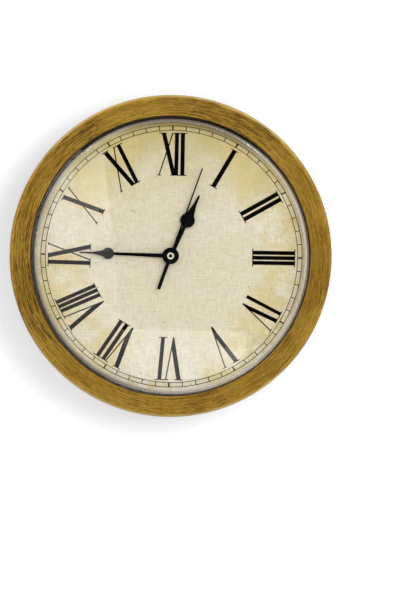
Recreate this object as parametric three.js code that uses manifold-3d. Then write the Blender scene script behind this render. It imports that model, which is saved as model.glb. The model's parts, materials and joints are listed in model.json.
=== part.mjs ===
// Wall clock whose round front swings open on a hinge and hides a shelved compartment.
// Millimetres, X to the right, Z up. The wall is the plane Y = 0 and the dial faces -Y.
// "Forward" is the distance away from the wall, so a forward value is a negative Y.

import * as THREE from "three";
import { mergeVertices } from "three/addons/utils/BufferGeometryUtils.js";
import Module from "manifold-3d";

const wasm = await Module();
wasm.setup();

// Whole clock. The front reaches past the rim of the box all round.
const FRONT_DIAMETER = 254;
const FRONT_DEPTH = 20;
const FRONT_REACH = 11.5;
const BOX_DEPTH = 52;
const RIM_OVERLAP = 4;
const FIT = 0.3;

// Safe box, which is a little narrower at the wall than at its mouth
const BOX_DRAFT = 2.4;
const BOX_WALL = 2.4;
const BOX_FLOOR = 2.5;
const BOX_BACK_FILLET = 3;
const RIM_WIDTH = 2.1;
const RIM_DEPTH = 4;
const RIM_CHAMFER = 0.8;
const RIM_STEP_WIDTH = 1.2;
const RIM_STEP_DEPTH = 1.6;

// Shelves and the rails that hold their ends
const SHELF_SPACING = 68;
const SHELF_THICKNESS = 2.2;
const SHELF_DEPTH = 43;
const SHELF_LIP = 1.6;
const SHELF_CLEARANCE = 0.5;
const RAIL_THICKNESS = 2;
const RAIL_REACH = 5;
const RAIL_DEPTH = 41.5;

// Keyhole slots in the back
const KEYHOLE_SPACING = 84;
const KEYHOLE_INSET = 16.2;
const KEYHOLE_ENTRY_DIAMETER = 9.5;
const KEYHOLE_SLOT_WIDTH = 5;
const KEYHOLE_SLOT_LENGTH = 9;

// Hinge at nine o'clock
const HINGE_OFFSET = 3.5;
const HINGE_SETBACK = 4;
const KNUCKLE_RADIUS = 3.4;
const HINGE_PIN_DIAMETER = 3;
const BOX_KNUCKLE_LENGTH = 11.5;
const BOX_KNUCKLE_GAP = 11;
const EAR_LENGTH = 13;
const EAR_GAP = 0.4;
const EAR_ROOT_WIDTH = 5.9;
const PIN_HEAD_DIAMETER = 5.2;
const PIN_HEAD_HEIGHT = 1.2;

// Snap tongue at three o'clock
const TONGUE_WIDTH = 18;
const TONGUE_SLOT_WIDTH = 4.5;
const TONGUE_LENGTH = 13;
const SNAP_BEAD_RADIUS = 1.2;
const SNAP_BEAD_LENGTH = 14;
const SNAP_BEAD_REACH = 0.5;
const SNAP_BEAD_SETBACK = 2;
const SNAP_POCKET_DEPTH = 0.8;

// Bezel
const BEZEL_WALL = 2.4;
const BEZEL_EDGE_RADIUS = 3.5;
const BEZEL_DISH = 0.8;
const BEZEL_LENS_EDGE_RADIUS = 1.2;
const BEZEL_WIDTH = 16.8;
const LENS_SEAT_WIDTH = 2.8;
const SKIRT_WALL = 2.4;

// Rear panel of the front
const PANEL_THICKNESS = 2;
const PANEL_LIP_THICKNESS = 1.6;
const PANEL_RECESS = 4.4;
const PANEL_LIP_CLEARANCE = 0.8;
const PANEL_EDGE_INSET = 0.4;
const DIAL_RING_WIDTH = 2.5;
const DIAL_RING_HEIGHT = 2.4;
const DIAL_RING_INSET = 1.5;
const PANEL_OPENING_CLEARANCE = 1;
const SCREW_ANGLE = 54;
const SCREW_DIAMETER = 2.5;
const SCREW_LENGTH = 10;
const SCREW_HEAD_DIAMETER = 5.5;
const SCREW_HEAD_HEIGHT = 1.6;
const SCREW_SLOT_WIDTH = 0.8;

// Dial and lens
const DIAL_THICKNESS = 1.5;
const DIAL_CLEARANCE = 0.5;
const LENS_FLANGE_THICKNESS = 1.5;
const LENS_WALL = 1.5;
const LENS_THICKNESS = 1.4;
const LENS_SIDE_GAP = 1.6;
const LENS_SHOULDER_RADIUS = 4;
const LENS_SINK = 1.7;
const LENS_CROWN = 0.9;

// Movement case
const CASE_WALL = 1.2;
const CASE_FRONT_WALL = 1.6;
const CASE_CORNER_RADIUS = 3;
const MOVEMENT_DEPTH = 16.6;
const COVER_THICKNESS = 1.2;
const CUSHION_THICKNESS = 0.6;
const CUSHION_DIAMETER = 18;

// Battery
const BATTERY_DIAMETER = 14.2;
const BATTERY_LENGTH = 50.5;
const BATTERY_BUTTON_DIAMETER = 5.4;
const BATTERY_BUTTON_HEIGHT = 1.2;
const CONTACT_THICKNESS = 0.5;
const CONTACT_WIDTH = 8;
const CONTACT_SPRING = 1;

// Centre tubes, from the inside outwards
const SECOND_ARBOR_RADIUS = 0.45;
const TUBE_WALL = 0.4;
const HOUR_TUBE_WALL = 0.5;
const BUSH_WALL = 1;
const BUSH_FLANGE_DIAMETER = 10.4;
const BUSH_FLANGE_THICKNESS = 0.8;
const NUT_FLATS = 11;
const NUT_SIDES = 6;
const NUT_THICKNESS = 2;

// Heights of the hands above the nut
const HAND_THICKNESS = 0.4;
const HAND_SPACING = 0.7;

// Wheels
const LAYER_PITCH = 1.2;
const WHEEL_THICKNESS = 0.8;
const FIRST_LAYER_GAP = 0.4;
const ARBOR_RADIUS = 0.45;
const MOTION_ARBOR_RADIUS = 1;
const CENTRE_MODULE = 0.32;
const FIFTH_MODULE = 0.49;
const ROTOR_MODULE = 0.26;
const CENTRE_TEETH = 48;
const THIRD_TEETH = 45;
const SECOND_TEETH = 30;
const FIFTH_TEETH = 36;
const TRAIN_PINION_TEETH = 6;
const CANNON_TEETH = 10;
const MOTION_TEETH = 30;
const MOTION_PINION_TEETH = 8;
const HOUR_TEETH = 32;
const ADDENDUM = 0.9;
const DEDENDUM = 1.1;
const TOOTH_ROOT_SHARE = 0.28;
const TOOTH_TIP_SHARE = 0.09;
const WHEEL_RUNNING_GAP = 0.45;
const THIRD_DIRECTION = 100;
const MOTION_DIRECTION = 190;
const FIFTH_DIRECTION = 290;
const ROTOR_DIRECTION = 230;

// Stepping motor
const MAGNET_RADIUS = 2.6;
const MAGNET_LENGTH = 2;
const MAGNET_AIR_GAP = 0.5;
const STATOR_THICKNESS = 0.8;
const STATOR_RING_WIDTH = 1.5;
const STATOR_ARM_WIDTH = 3.2;
const COIL_DROP = 8.5;
const COIL_LENGTH = 19.9;
const COIL_FLANGE_RADIUS = 2.8;
const COIL_FLANGE_THICKNESS = 0.8;
const COIL_SHIFT = 6.5;
const BOBBIN_WALL = 0.5;
const CORE_WIDTH = 1.8;

// Plates, posts and circuit board
const PLATE_THICKNESS = 0.8;
const PLATE_MARGIN = 2.3;
const POST_RADIUS = 1.4;
const POST_INSET = 1;
const SPIGOT_RADIUS = 0.8;
const BOARD_WIDTH = 5.7;
const BOARD_END_GAP = 4;
const BOARD_THICKNESS = 1;
const CHIP_SIZE = 3.4;
const CHIP_HEIGHT = 1.2;
const CHIP_CROWN = 0.24;
const CRYSTAL_DIAMETER = 2;
const CRYSTAL_LENGTH = 6;

// Setting knob
const KNOB_DIAMETER = 13;
const KNOB_HEIGHT = 3;
const KNOB_ROOF = 0.8;
const KNOB_FLUTES = 12;
const KNOB_FLUTE_RADIUS = 1.1;

// Hands
const MINUTE_LENGTH = 72.6;
const MINUTE_BULB_PLACE = 49.3;
const MINUTE_BULB_RADIUS = 4.5;
const MINUTE_HUB_WIDTH = 2.8;
const MINUTE_STEM_WIDTH = 1.85;
const MINUTE_NECK_WIDTH = 1.6;
const MINUTE_TIP_WIDTH = 1;
const MINUTE_NECK_LENGTH = 4.7;
const HOUR_LENGTH = 52.9;
const HOUR_BULB_PLACE = 31.2;
const HOUR_BULB_RADIUS = 5.55;
const HOUR_HUB_WIDTH = 3.2;
const HOUR_STEM_WIDTH = 2.4;
const HOUR_NECK_WIDTH = 2;
const HOUR_TIP_WIDTH = 1.3;
const HOUR_NECK_LENGTH = 5.85;
const HAND_HUB_RADIUS = 5.2;
const BULB_EXIT_ANGLE = 125;
const SECOND_LENGTH = 73.4;
const SECOND_TAIL_LENGTH = 28;
const SECOND_TAIL_WIDTH = 2.75;
const SECOND_NEEDLE_WIDTH = 0.9;
const SECOND_HUB_RADIUS = 6.35;
const EYELET_DIAMETER = 6.1;
const EYELET_HOLE_DIAMETER = 2.8;
const EYELET_HEIGHT = 0.7;
const MINUTE_ANGLE = 271.4;
const HOUR_ANGLE = 24.6;
const SECOND_ANGLE = 19.1;

// Facets round a full circle
const RIM_FACETS = 48;
const HUB_FACETS = 24;
const HOLE_FACETS = 12;
const ARBOR_FACETS = 8;
const CORNER_FACETS = 3;
const SMALL_CORNER_FACETS = 2;
const BULB_FACETS = 9;
const NECK_FACETS = 4;

// Colours
const BLACK_PLASTIC = 0x17171a;
const GOLD = 0x95702d;
const CLEAR = 0xe9eef0;
const DIAL_PAPER = 0xdccfa6;
const STEEL = 0xa9adb2;
const BRASS = 0xc9a24c;
const WHITE_PLASTIC = 0xe6e3da;
const RUBBER = 0x242424;
const COPPER = 0xb36a34;
const BOARD_GREEN = 0x2f5e3a;
const BATTERY_JACKET = 0x3f6ea5;
const MAGNET_GREY = 0x55565c;

const HALF_TURN = 180;
const degrees = (angle) => Math.PI * angle / HALF_TURN;

// Polar place on the dial plane, counted anticlockwise from the right as seen from the front.
function around(radius, angle) {
  return { x: radius * Math.cos(degrees(angle)), z: radius * Math.sin(degrees(angle)) };
}

// Turns a closed geometry into a solid that can be joined and cut.
function toSolid(geometry) {
  geometry.deleteAttribute("normal");
  geometry.deleteAttribute("uv");
  const merged = mergeVertices(geometry, 1e-4);
  const index = merged.index.array;
  const corners = [];
  for (let i = 0; i < index.length; i += 3) {
    const [a, b, c] = [index[i], index[i + 1], index[i + 2]];
    if (a !== b && b !== c && c !== a) {
      corners.push(a, b, c);
    }
  }
  const build = (triVerts) => new wasm.Manifold(new wasm.Mesh({
    numProp: 3,
    vertProperties: Float32Array.from(merged.attributes.position.array),
    triVerts: Uint32Array.from(triVerts),
  }));
  const solid = build(corners);
  return solid.volume() > 0 ? solid : build(corners.reverse());
}

// Gives the finished solid back as a geometry.
function toGeometry(solid) {
  const { vertProperties, triVerts } = solid.getMesh();
  const geometry = new THREE.BufferGeometry();
  geometry.setAttribute("position", new THREE.BufferAttribute(vertProperties, 3));
  geometry.setIndex(new THREE.BufferAttribute(triVerts, 1));
  geometry.computeVertexNormals();
  return geometry;
}

const join = (first, ...others) => others.reduce((whole, piece) => whole.add(piece), first);
const cut = (first, ...others) => others.reduce((whole, piece) => whole.subtract(piece), first);

// Turned shape about the clock's own axis from [radius, forward] points.
function turned(points, facets = RIM_FACETS) {
  const outline = points.map(([radius, forward]) => new THREE.Vector2(radius, -forward));
  const first = outline[0];
  const last = outline[outline.length - 1];
  if (first.x > 0 || last.x > 0) {
    outline.push(first.clone());
  }
  return toSolid(new THREE.LatheGeometry(outline, facets));
}

// Points of a round corner in a turned outline, from one angle to the other.
function corner(radiusAt, forwardAt, radius, from, to, steps = CORNER_FACETS) {
  return Array.from({ length: steps + 1 }, (_, step) => {
    const angle = degrees(from + (to - from) * step / steps);
    return [radiusAt + radius * Math.cos(angle), forwardAt + radius * Math.sin(angle)];
  });
}

// Flat piece of the given outline between two distances forward.
function plate(shape, rear, front) {
  const settings = { depth: front - rear, bevelEnabled: false, curveSegments: CORNER_FACETS };
  const geometry = new THREE.ExtrudeGeometry(shape, settings);
  geometry.rotateX(Math.PI / 2);
  geometry.translate(0, -rear, 0);
  return toSolid(geometry);
}

function block(left, right, rear, front, bottom, top) {
  const geometry = new THREE.BoxGeometry(right - left, front - rear, top - bottom);
  geometry.translate((left + right) / 2, -(rear + front) / 2, (bottom + top) / 2);
  return toSolid(geometry);
}

// Round bar that points forward.
function bar(place, radius, rear, front, facets = HOLE_FACETS) {
  const geometry = new THREE.CylinderGeometry(radius, radius, front - rear, facets);
  geometry.translate(place.x, -(rear + front) / 2, place.z);
  return toSolid(geometry);
}

// Round bar that stands upright.
function upright(x, forward, radius, bottom, top, facets = HOLE_FACETS) {
  const geometry = new THREE.CylinderGeometry(radius, radius, top - bottom, facets);
  geometry.rotateX(Math.PI / 2);
  geometry.translate(x, -forward, (bottom + top) / 2);
  return toSolid(geometry);
}

// Round bar that lies from left to right.
function crosswise(forward, z, radius, left, right, facets = HOLE_FACETS) {
  const geometry = new THREE.CylinderGeometry(radius, radius, right - left, facets);
  geometry.rotateZ(Math.PI / 2);
  geometry.translate((left + right) / 2, -forward, z);
  return toSolid(geometry);
}

function roundedRectangle(left, right, bottom, top, radius) {
  const shape = new THREE.Shape();
  shape.moveTo(left + radius, bottom);
  shape.absarc(right - radius, bottom + radius, radius, -Math.PI / 2, 0, false);
  shape.absarc(right - radius, top - radius, radius, 0, Math.PI / 2, false);
  shape.absarc(left + radius, top - radius, radius, Math.PI / 2, Math.PI, false);
  shape.absarc(left + radius, bottom + radius, radius, Math.PI, Math.PI * 1.5, false);
  shape.closePath();
  return shape;
}

const CENTRE = { x: 0, z: 0 };

function piece(name, solid, colour, roughness, metalness = 0) {
  const material = new THREE.MeshStandardMaterial({ color: colour, roughness, metalness });
  const mesh = new THREE.Mesh(toGeometry(solid), material);
  mesh.name = name;
  return mesh;
}

// Safe box

const frontRadius = FRONT_DIAMETER / 2;
const rimRadius = frontRadius - FRONT_REACH;
const boxBackRadius = rimRadius - RIM_WIDTH - BOX_DRAFT;
const boxTaper = BOX_DRAFT / BOX_DEPTH;
const cavityRadius = (forward) => boxBackRadius - BOX_WALL + boxTaper * forward;
const shelfBottom = SHELF_SPACING / 2;
const shelfTop = shelfBottom + SHELF_THICKNESS;
const hingeX = -(rimRadius + HINGE_OFFSET);
const frontRear = BOX_DEPTH - RIM_OVERLAP;
const hingeForward = frontRear - HINGE_SETBACK;
const knuckleInner = BOX_KNUCKLE_GAP / 2;
const knuckleOuter = knuckleInner + BOX_KNUCKLE_LENGTH;

function boxOutside() {
  const rimRear = BOX_DEPTH - RIM_DEPTH;
  return turned([
    [0, 0],
    ...corner(boxBackRadius - BOX_BACK_FILLET, BOX_BACK_FILLET, BOX_BACK_FILLET, -90, 0),
    [boxBackRadius + boxTaper * rimRear, rimRear],
    [rimRadius, rimRear],
    [rimRadius, BOX_DEPTH - RIM_CHAMFER],
    [rimRadius - RIM_CHAMFER, BOX_DEPTH],
    [0, BOX_DEPTH],
  ]);
}

// The compartment, made smaller all round by a clearance where a shelf has to fit it.
function cavity(clearance, top) {
  return turned([
    [0, BOX_FLOOR + clearance],
    [cavityRadius(BOX_FLOOR) - clearance, BOX_FLOOR + clearance],
    [cavityRadius(top) - clearance, top],
    [0, top],
  ]);
}

// The upper end of each slot, where the clock hangs, keeps its distance from the edge of the box.
function keyhole(side) {
  const across = KEYHOLE_SPACING / 2;
  const hangingHeight = Math.sqrt((boxBackRadius - KEYHOLE_INSET) ** 2 - across ** 2);
  const slotEnd = { x: side * across, z: hangingHeight };
  const centre = { x: slotEnd.x, z: slotEnd.z - KEYHOLE_SLOT_LENGTH };
  const half = KEYHOLE_SLOT_WIDTH / 2;
  return join(
    bar(centre, KEYHOLE_ENTRY_DIAMETER / 2, -BOX_FLOOR, 2 * BOX_FLOOR),
    bar(slotEnd, half, -BOX_FLOOR, 2 * BOX_FLOOR),
    block(centre.x - half, centre.x + half, -BOX_FLOOR, 2 * BOX_FLOOR, centre.z, slotEnd.z),
  );
}

// One pair of rails, above and below the end of a shelf.
function rails(side, level) {
  const inner = Math.sqrt(cavityRadius(BOX_FLOOR) ** 2 - shelfTop ** 2) - RAIL_REACH;
  const ends = [side * inner, side * rimRadius].sort((a, b) => a - b);
  const front = BOX_FLOOR + RAIL_DEPTH;
  const rail = (from) => {
    const heights = [level * from, level * (from + RAIL_THICKNESS)].sort((a, b) => a - b);
    return block(ends[0], ends[1], BOX_FLOOR / 2, front, heights[0], heights[1]);
  };
  return join(rail(shelfTop + FIT), rail(shelfBottom - FIT - RAIL_THICKNESS));
}

function backBox() {
  const step = turned([
    [cavityRadius(BOX_DEPTH), BOX_DEPTH - RIM_STEP_DEPTH],
    [cavityRadius(BOX_DEPTH) + RIM_STEP_WIDTH, BOX_DEPTH - RIM_STEP_DEPTH],
    [cavityRadius(BOX_DEPTH) + RIM_STEP_WIDTH, BOX_DEPTH + RIM_STEP_DEPTH],
    [cavityRadius(BOX_DEPTH) - RIM_STEP_WIDTH, BOX_DEPTH + RIM_STEP_DEPTH],
    [cavityRadius(BOX_DEPTH) - RIM_STEP_WIDTH, BOX_DEPTH - RIM_STEP_DEPTH],
  ]);
  const beadX = rimRadius + SNAP_BEAD_REACH - SNAP_BEAD_RADIUS;
  const beadForward = BOX_DEPTH - SNAP_BEAD_SETBACK;
  const beadEnds = [-SNAP_BEAD_LENGTH / 2, SNAP_BEAD_LENGTH / 2];
  const bead = upright(beadX, beadForward, SNAP_BEAD_RADIUS, ...beadEnds);
  const brackets = [-1, 1].map((side) => {
    const [low, high] = [side * knuckleInner, side * knuckleOuter].sort((a, b) => a - b);
    const rear = hingeForward - KNUCKLE_RADIUS;
    const front = hingeForward + KNUCKLE_RADIUS;
    const arm = block(hingeX, -cavityRadius(0) + BOX_WALL, rear, front, low, high);
    return join(upright(hingeX, hingeForward, KNUCKLE_RADIUS, low, high), arm);
  });
  const pinBore = HINGE_PIN_DIAMETER / 2 + FIT;
  const pinHole = upright(hingeX, hingeForward, pinBore, -frontRadius, frontRadius);
  const slotInner = TONGUE_WIDTH / 2;
  const slotOuter = slotInner + TONGUE_SLOT_WIDTH;
  const tongueSlots = [-1, 1].map((side) => {
    const [low, high] = [side * slotInner, side * slotOuter].sort((a, b) => a - b);
    const tongueRoot = BOX_DEPTH - TONGUE_LENGTH;
    return block(cavityRadius(0) - BOX_WALL, 2 * rimRadius, tongueRoot, 2 * BOX_DEPTH, low, high);
  });
  const shell = cut(
    join(boxOutside(), bead, ...brackets),
    cavity(0, BOX_DEPTH + BOX_FLOOR),
    step,
    pinHole,
    keyhole(-1),
    keyhole(1),
    ...tongueSlots,
  );
  const allRails = [-1, 1].flatMap((side) => [-1, 1].map((level) => rails(side, level)));
  return join(shell, ...allRails.map((rail) => rail.intersect(boxOutside())));
}

// A shelf fits the round wall at both ends and has a low lip along its front edge.
function shelf() {
  const rear = BOX_FLOOR + SHELF_CLEARANCE;
  const front = rear + SHELF_DEPTH;
  const board = block(-rimRadius, rimRadius, rear, front, shelfBottom, shelfTop);
  const railInner = Math.sqrt(cavityRadius(BOX_FLOOR) ** 2 - shelfTop ** 2) - RAIL_REACH;
  const lipEnd = railInner - SHELF_CLEARANCE;
  const lipTop = shelfTop + SHELF_LIP;
  const lip = block(-lipEnd, lipEnd, front - SHELF_THICKNESS, front, shelfTop - FIT, lipTop);
  return join(board, lip).intersect(cavity(SHELF_CLEARANCE, BOX_DEPTH));
}

function hingePin() {
  const earEnd = knuckleOuter + EAR_GAP + EAR_LENGTH;
  const headBottom = earEnd + FIT;
  const shank = upright(0, 0, HINGE_PIN_DIAMETER / 2, -earEnd, headBottom + PIN_HEAD_HEIGHT / 2);
  return join(shank, upright(0, 0, PIN_HEAD_DIAMETER / 2, headBottom, headBottom + PIN_HEAD_HEIGHT));
}

// Swinging front, measured forward from the rear edge of the front

const openingRadius = frontRadius - BEZEL_WIDTH;
const lipInner = rimRadius + PANEL_LIP_CLEARANCE;
const lipOuter = lipInner + PANEL_THICKNESS;
const panelFront = PANEL_RECESS + PANEL_THICKNESS;
const bezelRear = PANEL_LIP_THICKNESS + FIT;
const seatRadius = openingRadius + LENS_SEAT_WIDTH;
const dialRadius = seatRadius - DIAL_CLEARANCE;
const dialRear = panelFront + DIAL_RING_HEIGHT + FIT;
const dialFront = dialRear + DIAL_THICKNESS;
const flangeRear = dialFront + FIT;
const flangeFront = flangeRear + LENS_FLANGE_THICKNESS;
const lensSeat = flangeFront + FIT;
const bezelWallRadius = frontRadius - BEZEL_WALL;
const bossRadius = (bezelWallRadius - lipOuter - FIT) / 2 + FIT;
const bossPlace = lipOuter + FIT + bossRadius;
const screwAngles = [
  SCREW_ANGLE,
  HALF_TURN - SCREW_ANGLE,
  HALF_TURN + SCREW_ANGLE,
  2 * HALF_TURN - SCREW_ANGLE,
];
const hingeInFront = -HINGE_SETBACK;
const earInner = knuckleOuter + EAR_GAP;
const earOuter = earInner + EAR_LENGTH;
const earLeft = hingeX - KNUCKLE_RADIUS - EAR_GAP;
const earRight = earLeft + EAR_ROOT_WIDTH;

function ear(side) {
  const [low, high] = [side * earInner, side * earOuter].sort((a, b) => a - b);
  const root = block(earLeft, earRight, hingeInFront, FRONT_DEPTH - BEZEL_WALL, low, high);
  const knuckle = upright(hingeX, hingeInFront, KNUCKLE_RADIUS, low, high);
  const limit = bar(CENTRE, frontRadius - BEZEL_WALL / 2, 2 * hingeInFront, FRONT_DEPTH, RIM_FACETS);
  return join(root, knuckle).intersect(limit);
}

function bezel() {
  const faceRear = FRONT_DEPTH - BEZEL_WALL;
  const innerFront = FRONT_DEPTH - BEZEL_DISH - BEZEL_LENS_EDGE_RADIUS;
  const body = turned([
    [frontRadius, bezelRear],
    ...corner(frontRadius - BEZEL_EDGE_RADIUS, FRONT_DEPTH - BEZEL_EDGE_RADIUS, BEZEL_EDGE_RADIUS, 0, 90),
    ...corner(
      openingRadius + BEZEL_LENS_EDGE_RADIUS,
      innerFront,
      BEZEL_LENS_EDGE_RADIUS,
      90,
      180,
      SMALL_CORNER_FACETS,
    ),
    [openingRadius, lensSeat],
    [seatRadius, lensSeat],
    [seatRadius, panelFront + FIT],
    [seatRadius + SKIRT_WALL, panelFront + FIT],
    [seatRadius + SKIRT_WALL, faceRear - BEZEL_DISH],
    [bezelWallRadius - BEZEL_WALL / 2, faceRear],
    [bezelWallRadius, faceRear - BEZEL_WALL / 2],
    [bezelWallRadius, bezelRear],
  ]);
  const bosses = screwAngles.map((angle) => {
    return bar(around(bossPlace, angle), bossRadius, bezelRear, faceRear, ARBOR_FACETS);
  });
  const holes = screwAngles.map((angle) => {
    const place = around(bossPlace, angle);
    return bar(place, SCREW_DIAMETER / 2 + FIT, bezelRear - FIT, SCREW_LENGTH + FIT, ARBOR_FACETS);
  });
  const pinHole = upright(hingeX, hingeInFront, HINGE_PIN_DIAMETER / 2 + FIT, -frontRadius, frontRadius);
  return cut(join(body, ...bosses, ear(-1), ear(1)), ...holes, pinHole);
}

function lens() {
  const wallOuter = openingRadius - LENS_SIDE_GAP;
  const wallInner = wallOuter - LENS_WALL;
  const outerRadius = seatRadius - DIAL_CLEARANCE;
  const shoulder = FRONT_DEPTH - LENS_SINK - LENS_SHOULDER_RADIUS;
  const crownEdge = wallOuter - LENS_SHOULDER_RADIUS;
  const innerShoulder = LENS_SHOULDER_RADIUS - LENS_THICKNESS;
  const crown = (edgeForward, share) => {
    return [crownEdge * share, edgeForward + LENS_CROWN * (1 - share ** 2)];
  };
  const top = FRONT_DEPTH - LENS_SINK;
  return turned([
    crown(top, 0),
    crown(top, 1 / 2),
    ...corner(crownEdge, shoulder, LENS_SHOULDER_RADIUS, 90, 0),
    [wallOuter, flangeFront],
    [outerRadius, flangeFront],
    [outerRadius, flangeRear],
    [wallInner, flangeRear],
    ...corner(crownEdge, shoulder, innerShoulder, 0, 90, SMALL_CORNER_FACETS),
    crown(top - LENS_THICKNESS, 1 / 2),
    crown(top - LENS_THICKNESS, 0),
  ]);
}

const centreArborInner = SECOND_ARBOR_RADIUS + FIT;
const centreArborOuter = centreArborInner + TUBE_WALL;
const cannonInner = centreArborOuter + FIT;
const cannonOuter = cannonInner + TUBE_WALL;
const hourTubeInner = cannonOuter + FIT;
const hourTubeOuter = hourTubeInner + HOUR_TUBE_WALL;
const bushInner = hourTubeOuter + FIT;
const bushOuter = bushInner + BUSH_WALL;
const bushHole = bushOuter + FIT;

function dial() {
  const disc = bar(CENTRE, dialRadius, dialRear, dialFront, RIM_FACETS);
  return cut(disc, bar(CENTRE, bushHole, dialRear - FIT, dialFront + FIT));
}

// Movement, with the battery bay to the right of the wheels

const caseFront = dialRear - 2 * FIT - CUSHION_THICKNESS;
const caseRear = caseFront - MOVEMENT_DEPTH;
const caseInside = caseFront - CASE_FRONT_WALL;
const coverFront = caseRear + COVER_THICKNESS;
const layerFront = (layer) => caseInside - FIRST_LAYER_GAP - layer * LAYER_PITCH;
const tipRadius = (teeth, gearModule) => gearModule * (teeth / 2 + ADDENDUM);
const centreReach = tipRadius(CENTRE_TEETH, CENTRE_MODULE);
const thirdDistance = CENTRE_MODULE * (CENTRE_TEETH + TRAIN_PINION_TEETH) / 2;
const thirdModule = 2 * thirdDistance / (THIRD_TEETH + TRAIN_PINION_TEETH);
const fifthDistance = FIFTH_MODULE * (SECOND_TEETH + TRAIN_PINION_TEETH) / 2;
const rotorDistance = ROTOR_MODULE * (FIFTH_TEETH + TRAIN_PINION_TEETH) / 2;
const motionDistance = centreReach + MOTION_ARBOR_RADIUS + WHEEL_RUNNING_GAP;
const cannonModule = 2 * motionDistance / (CANNON_TEETH + MOTION_TEETH);
const hourModule = 2 * motionDistance / (MOTION_PINION_TEETH + HOUR_TEETH);
const thirdPlace = around(thirdDistance, THIRD_DIRECTION);
const motionPlace = around(motionDistance, MOTION_DIRECTION);
const fifthPlace = around(fifthDistance, FIFTH_DIRECTION);
const rotorStep = around(rotorDistance, ROTOR_DIRECTION);
const rotorPlace = { x: fifthPlace.x + rotorStep.x, z: fifthPlace.z + rotorStep.z };

const platePlane = layerFront(2);
const magnetFront = layerFront(6) - WHEEL_THICKNESS - FIT;
const bridgeFront = magnetFront - MAGNET_LENGTH - FIT;
const bridgeRear = bridgeFront - PLATE_THICKNESS;
const plateRight = centreReach + PLATE_MARGIN;
const plateLeft = motionPlace.x - tipRadius(MOTION_TEETH, cannonModule) - PLATE_MARGIN;
const plateTop = thirdPlace.z + tipRadius(THIRD_TEETH, thirdModule) + PLATE_MARGIN;
const plateBottom = rotorPlace.z - MAGNET_RADIUS;
const platePosts = [
  { x: plateRight - POST_RADIUS - PLATE_MARGIN, z: plateTop - POST_RADIUS },
  { x: plateLeft + POST_RADIUS + POST_INSET, z: plateTop - PLATE_MARGIN },
  { x: plateLeft + POST_RADIUS + POST_INSET, z: rotorPlace.z },
  { x: plateRight - POST_RADIUS, z: rotorPlace.z },
];

const statorRear = magnetFront - (MAGNET_LENGTH + STATOR_THICKNESS) / 2;
const statorFront = statorRear + STATOR_THICKNESS;
const coreRear = statorFront + FIT;
const coreFront = coreRear + STATOR_THICKNESS;
const coilForward = (coreRear + coreFront) / 2;
const coilZ = rotorPlace.z - COIL_DROP;
const coilLeft = rotorPlace.x - COIL_SHIFT - COIL_LENGTH / 2;
const coilRight = coilLeft + COIL_LENGTH;
const coilPosts = [
  { x: coilLeft - FIT - STATOR_ARM_WIDTH / 2, z: coilZ },
  { x: coilRight + FIT + STATOR_ARM_WIDTH / 2, z: coilZ },
];
const statorLeft = coilPosts[0].x - STATOR_ARM_WIDTH / 2;
const statorRight = coilPosts[1].x + STATOR_ARM_WIDTH / 2;
const statorRing = MAGNET_RADIUS + MAGNET_AIR_GAP + STATOR_RING_WIDTH;

const bayLeft = plateRight + FIT + CASE_WALL;
const batteryX = bayLeft + FIT + BATTERY_DIAMETER / 2;
const bayRight = batteryX + BATTERY_DIAMETER / 2 + FIT;
const bayTop = BATTERY_LENGTH / 2 + CONTACT_THICKNESS + CONTACT_SPRING + 2 * FIT;
const batteryForward = caseInside - FIT - BATTERY_DIAMETER / 2;
const boardRight = Math.min(plateLeft, statorLeft) - FIT;
const boardLeft = boardRight - BOARD_WIDTH;
const boardFront = coreFront;
const boardTop = bayTop - BOARD_END_GAP;
const boardX = (boardLeft + boardRight) / 2;
const boardPosts = [
  { x: boardX, z: boardTop - BOARD_END_GAP },
  { x: boardX, z: BOARD_END_GAP - boardTop },
];
const caseLeft = boardLeft - FIT - CASE_WALL;
const caseRight = bayRight + CASE_WALL;
const caseTop = bayTop + CASE_WALL;

const nutRear = dialFront + FIT;
const bushFront = nutRear + NUT_THICKNESS + FIT;
const hourHandRear = bushFront + FIT;
const hourHandFront = hourHandRear + HAND_THICKNESS;
const minuteHandRear = hourHandFront + HAND_SPACING;
const minuteHandFront = minuteHandRear + HAND_THICKNESS;
const secondHandRear = minuteHandFront + HAND_SPACING;
const secondHandFront = secondHandRear + HAND_THICKNESS;
const eyeletRear = secondHandFront + FIT;
const eyeletFront = eyeletRear + EYELET_HEIGHT;
const eyeletFloor = (eyeletRear + eyeletFront) / 2;

// Toothed disc. A tooth stands at the phase angle, anticlockwise from the right. The fine wheels of
// the train have pointed teeth, and the coarser ones and the pinions have flat tips.
function toothed(teeth, gearModule, rear, front, phase = 0) {
  const step = 2 * Math.PI / teeth;
  const root = gearModule * (teeth / 2 - DEDENDUM);
  const tip = tipRadius(teeth, gearModule);
  const pointed = teeth > TRAIN_PINION_TEETH && rear < platePlane - PLATE_THICKNESS;
  const tips = pointed ? [[tip, 0]] : [[tip, -TOOTH_TIP_SHARE], [tip, TOOTH_TIP_SHARE]];
  const tooth = [[root, -TOOTH_ROOT_SHARE], ...tips, [root, TOOTH_ROOT_SHARE]];
  const points = Array.from({ length: teeth }, (_, index) => tooth.map(([radius, share]) => {
    const angle = phase + (index + share) * step;
    return new THREE.Vector2(radius * Math.cos(angle), radius * Math.sin(angle));
  })).flat();
  return plate(new THREE.Shape(points), rear, front);
}

function wheel(teeth, gearModule, layer, phase) {
  return toothed(teeth, gearModule, layerFront(layer) - WHEEL_THICKNESS, layerFront(layer), phase);
}

// A pinion reaches back to the wheel that it is one piece with.
function pinion(teeth, gearModule, layer, phase) {
  return toothed(teeth, gearModule, layerFront(layer + 1), layerFront(layer), phase);
}

// Phase of a wheel that meshes with one whose tooth stands at phase zero.
function meshPhase(direction, drivingTeeth, drivenTeeth) {
  const angle = degrees(direction);
  return angle + Math.PI + Math.PI / drivenTeeth + angle * drivingTeeth / drivenTeeth;
}

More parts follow.
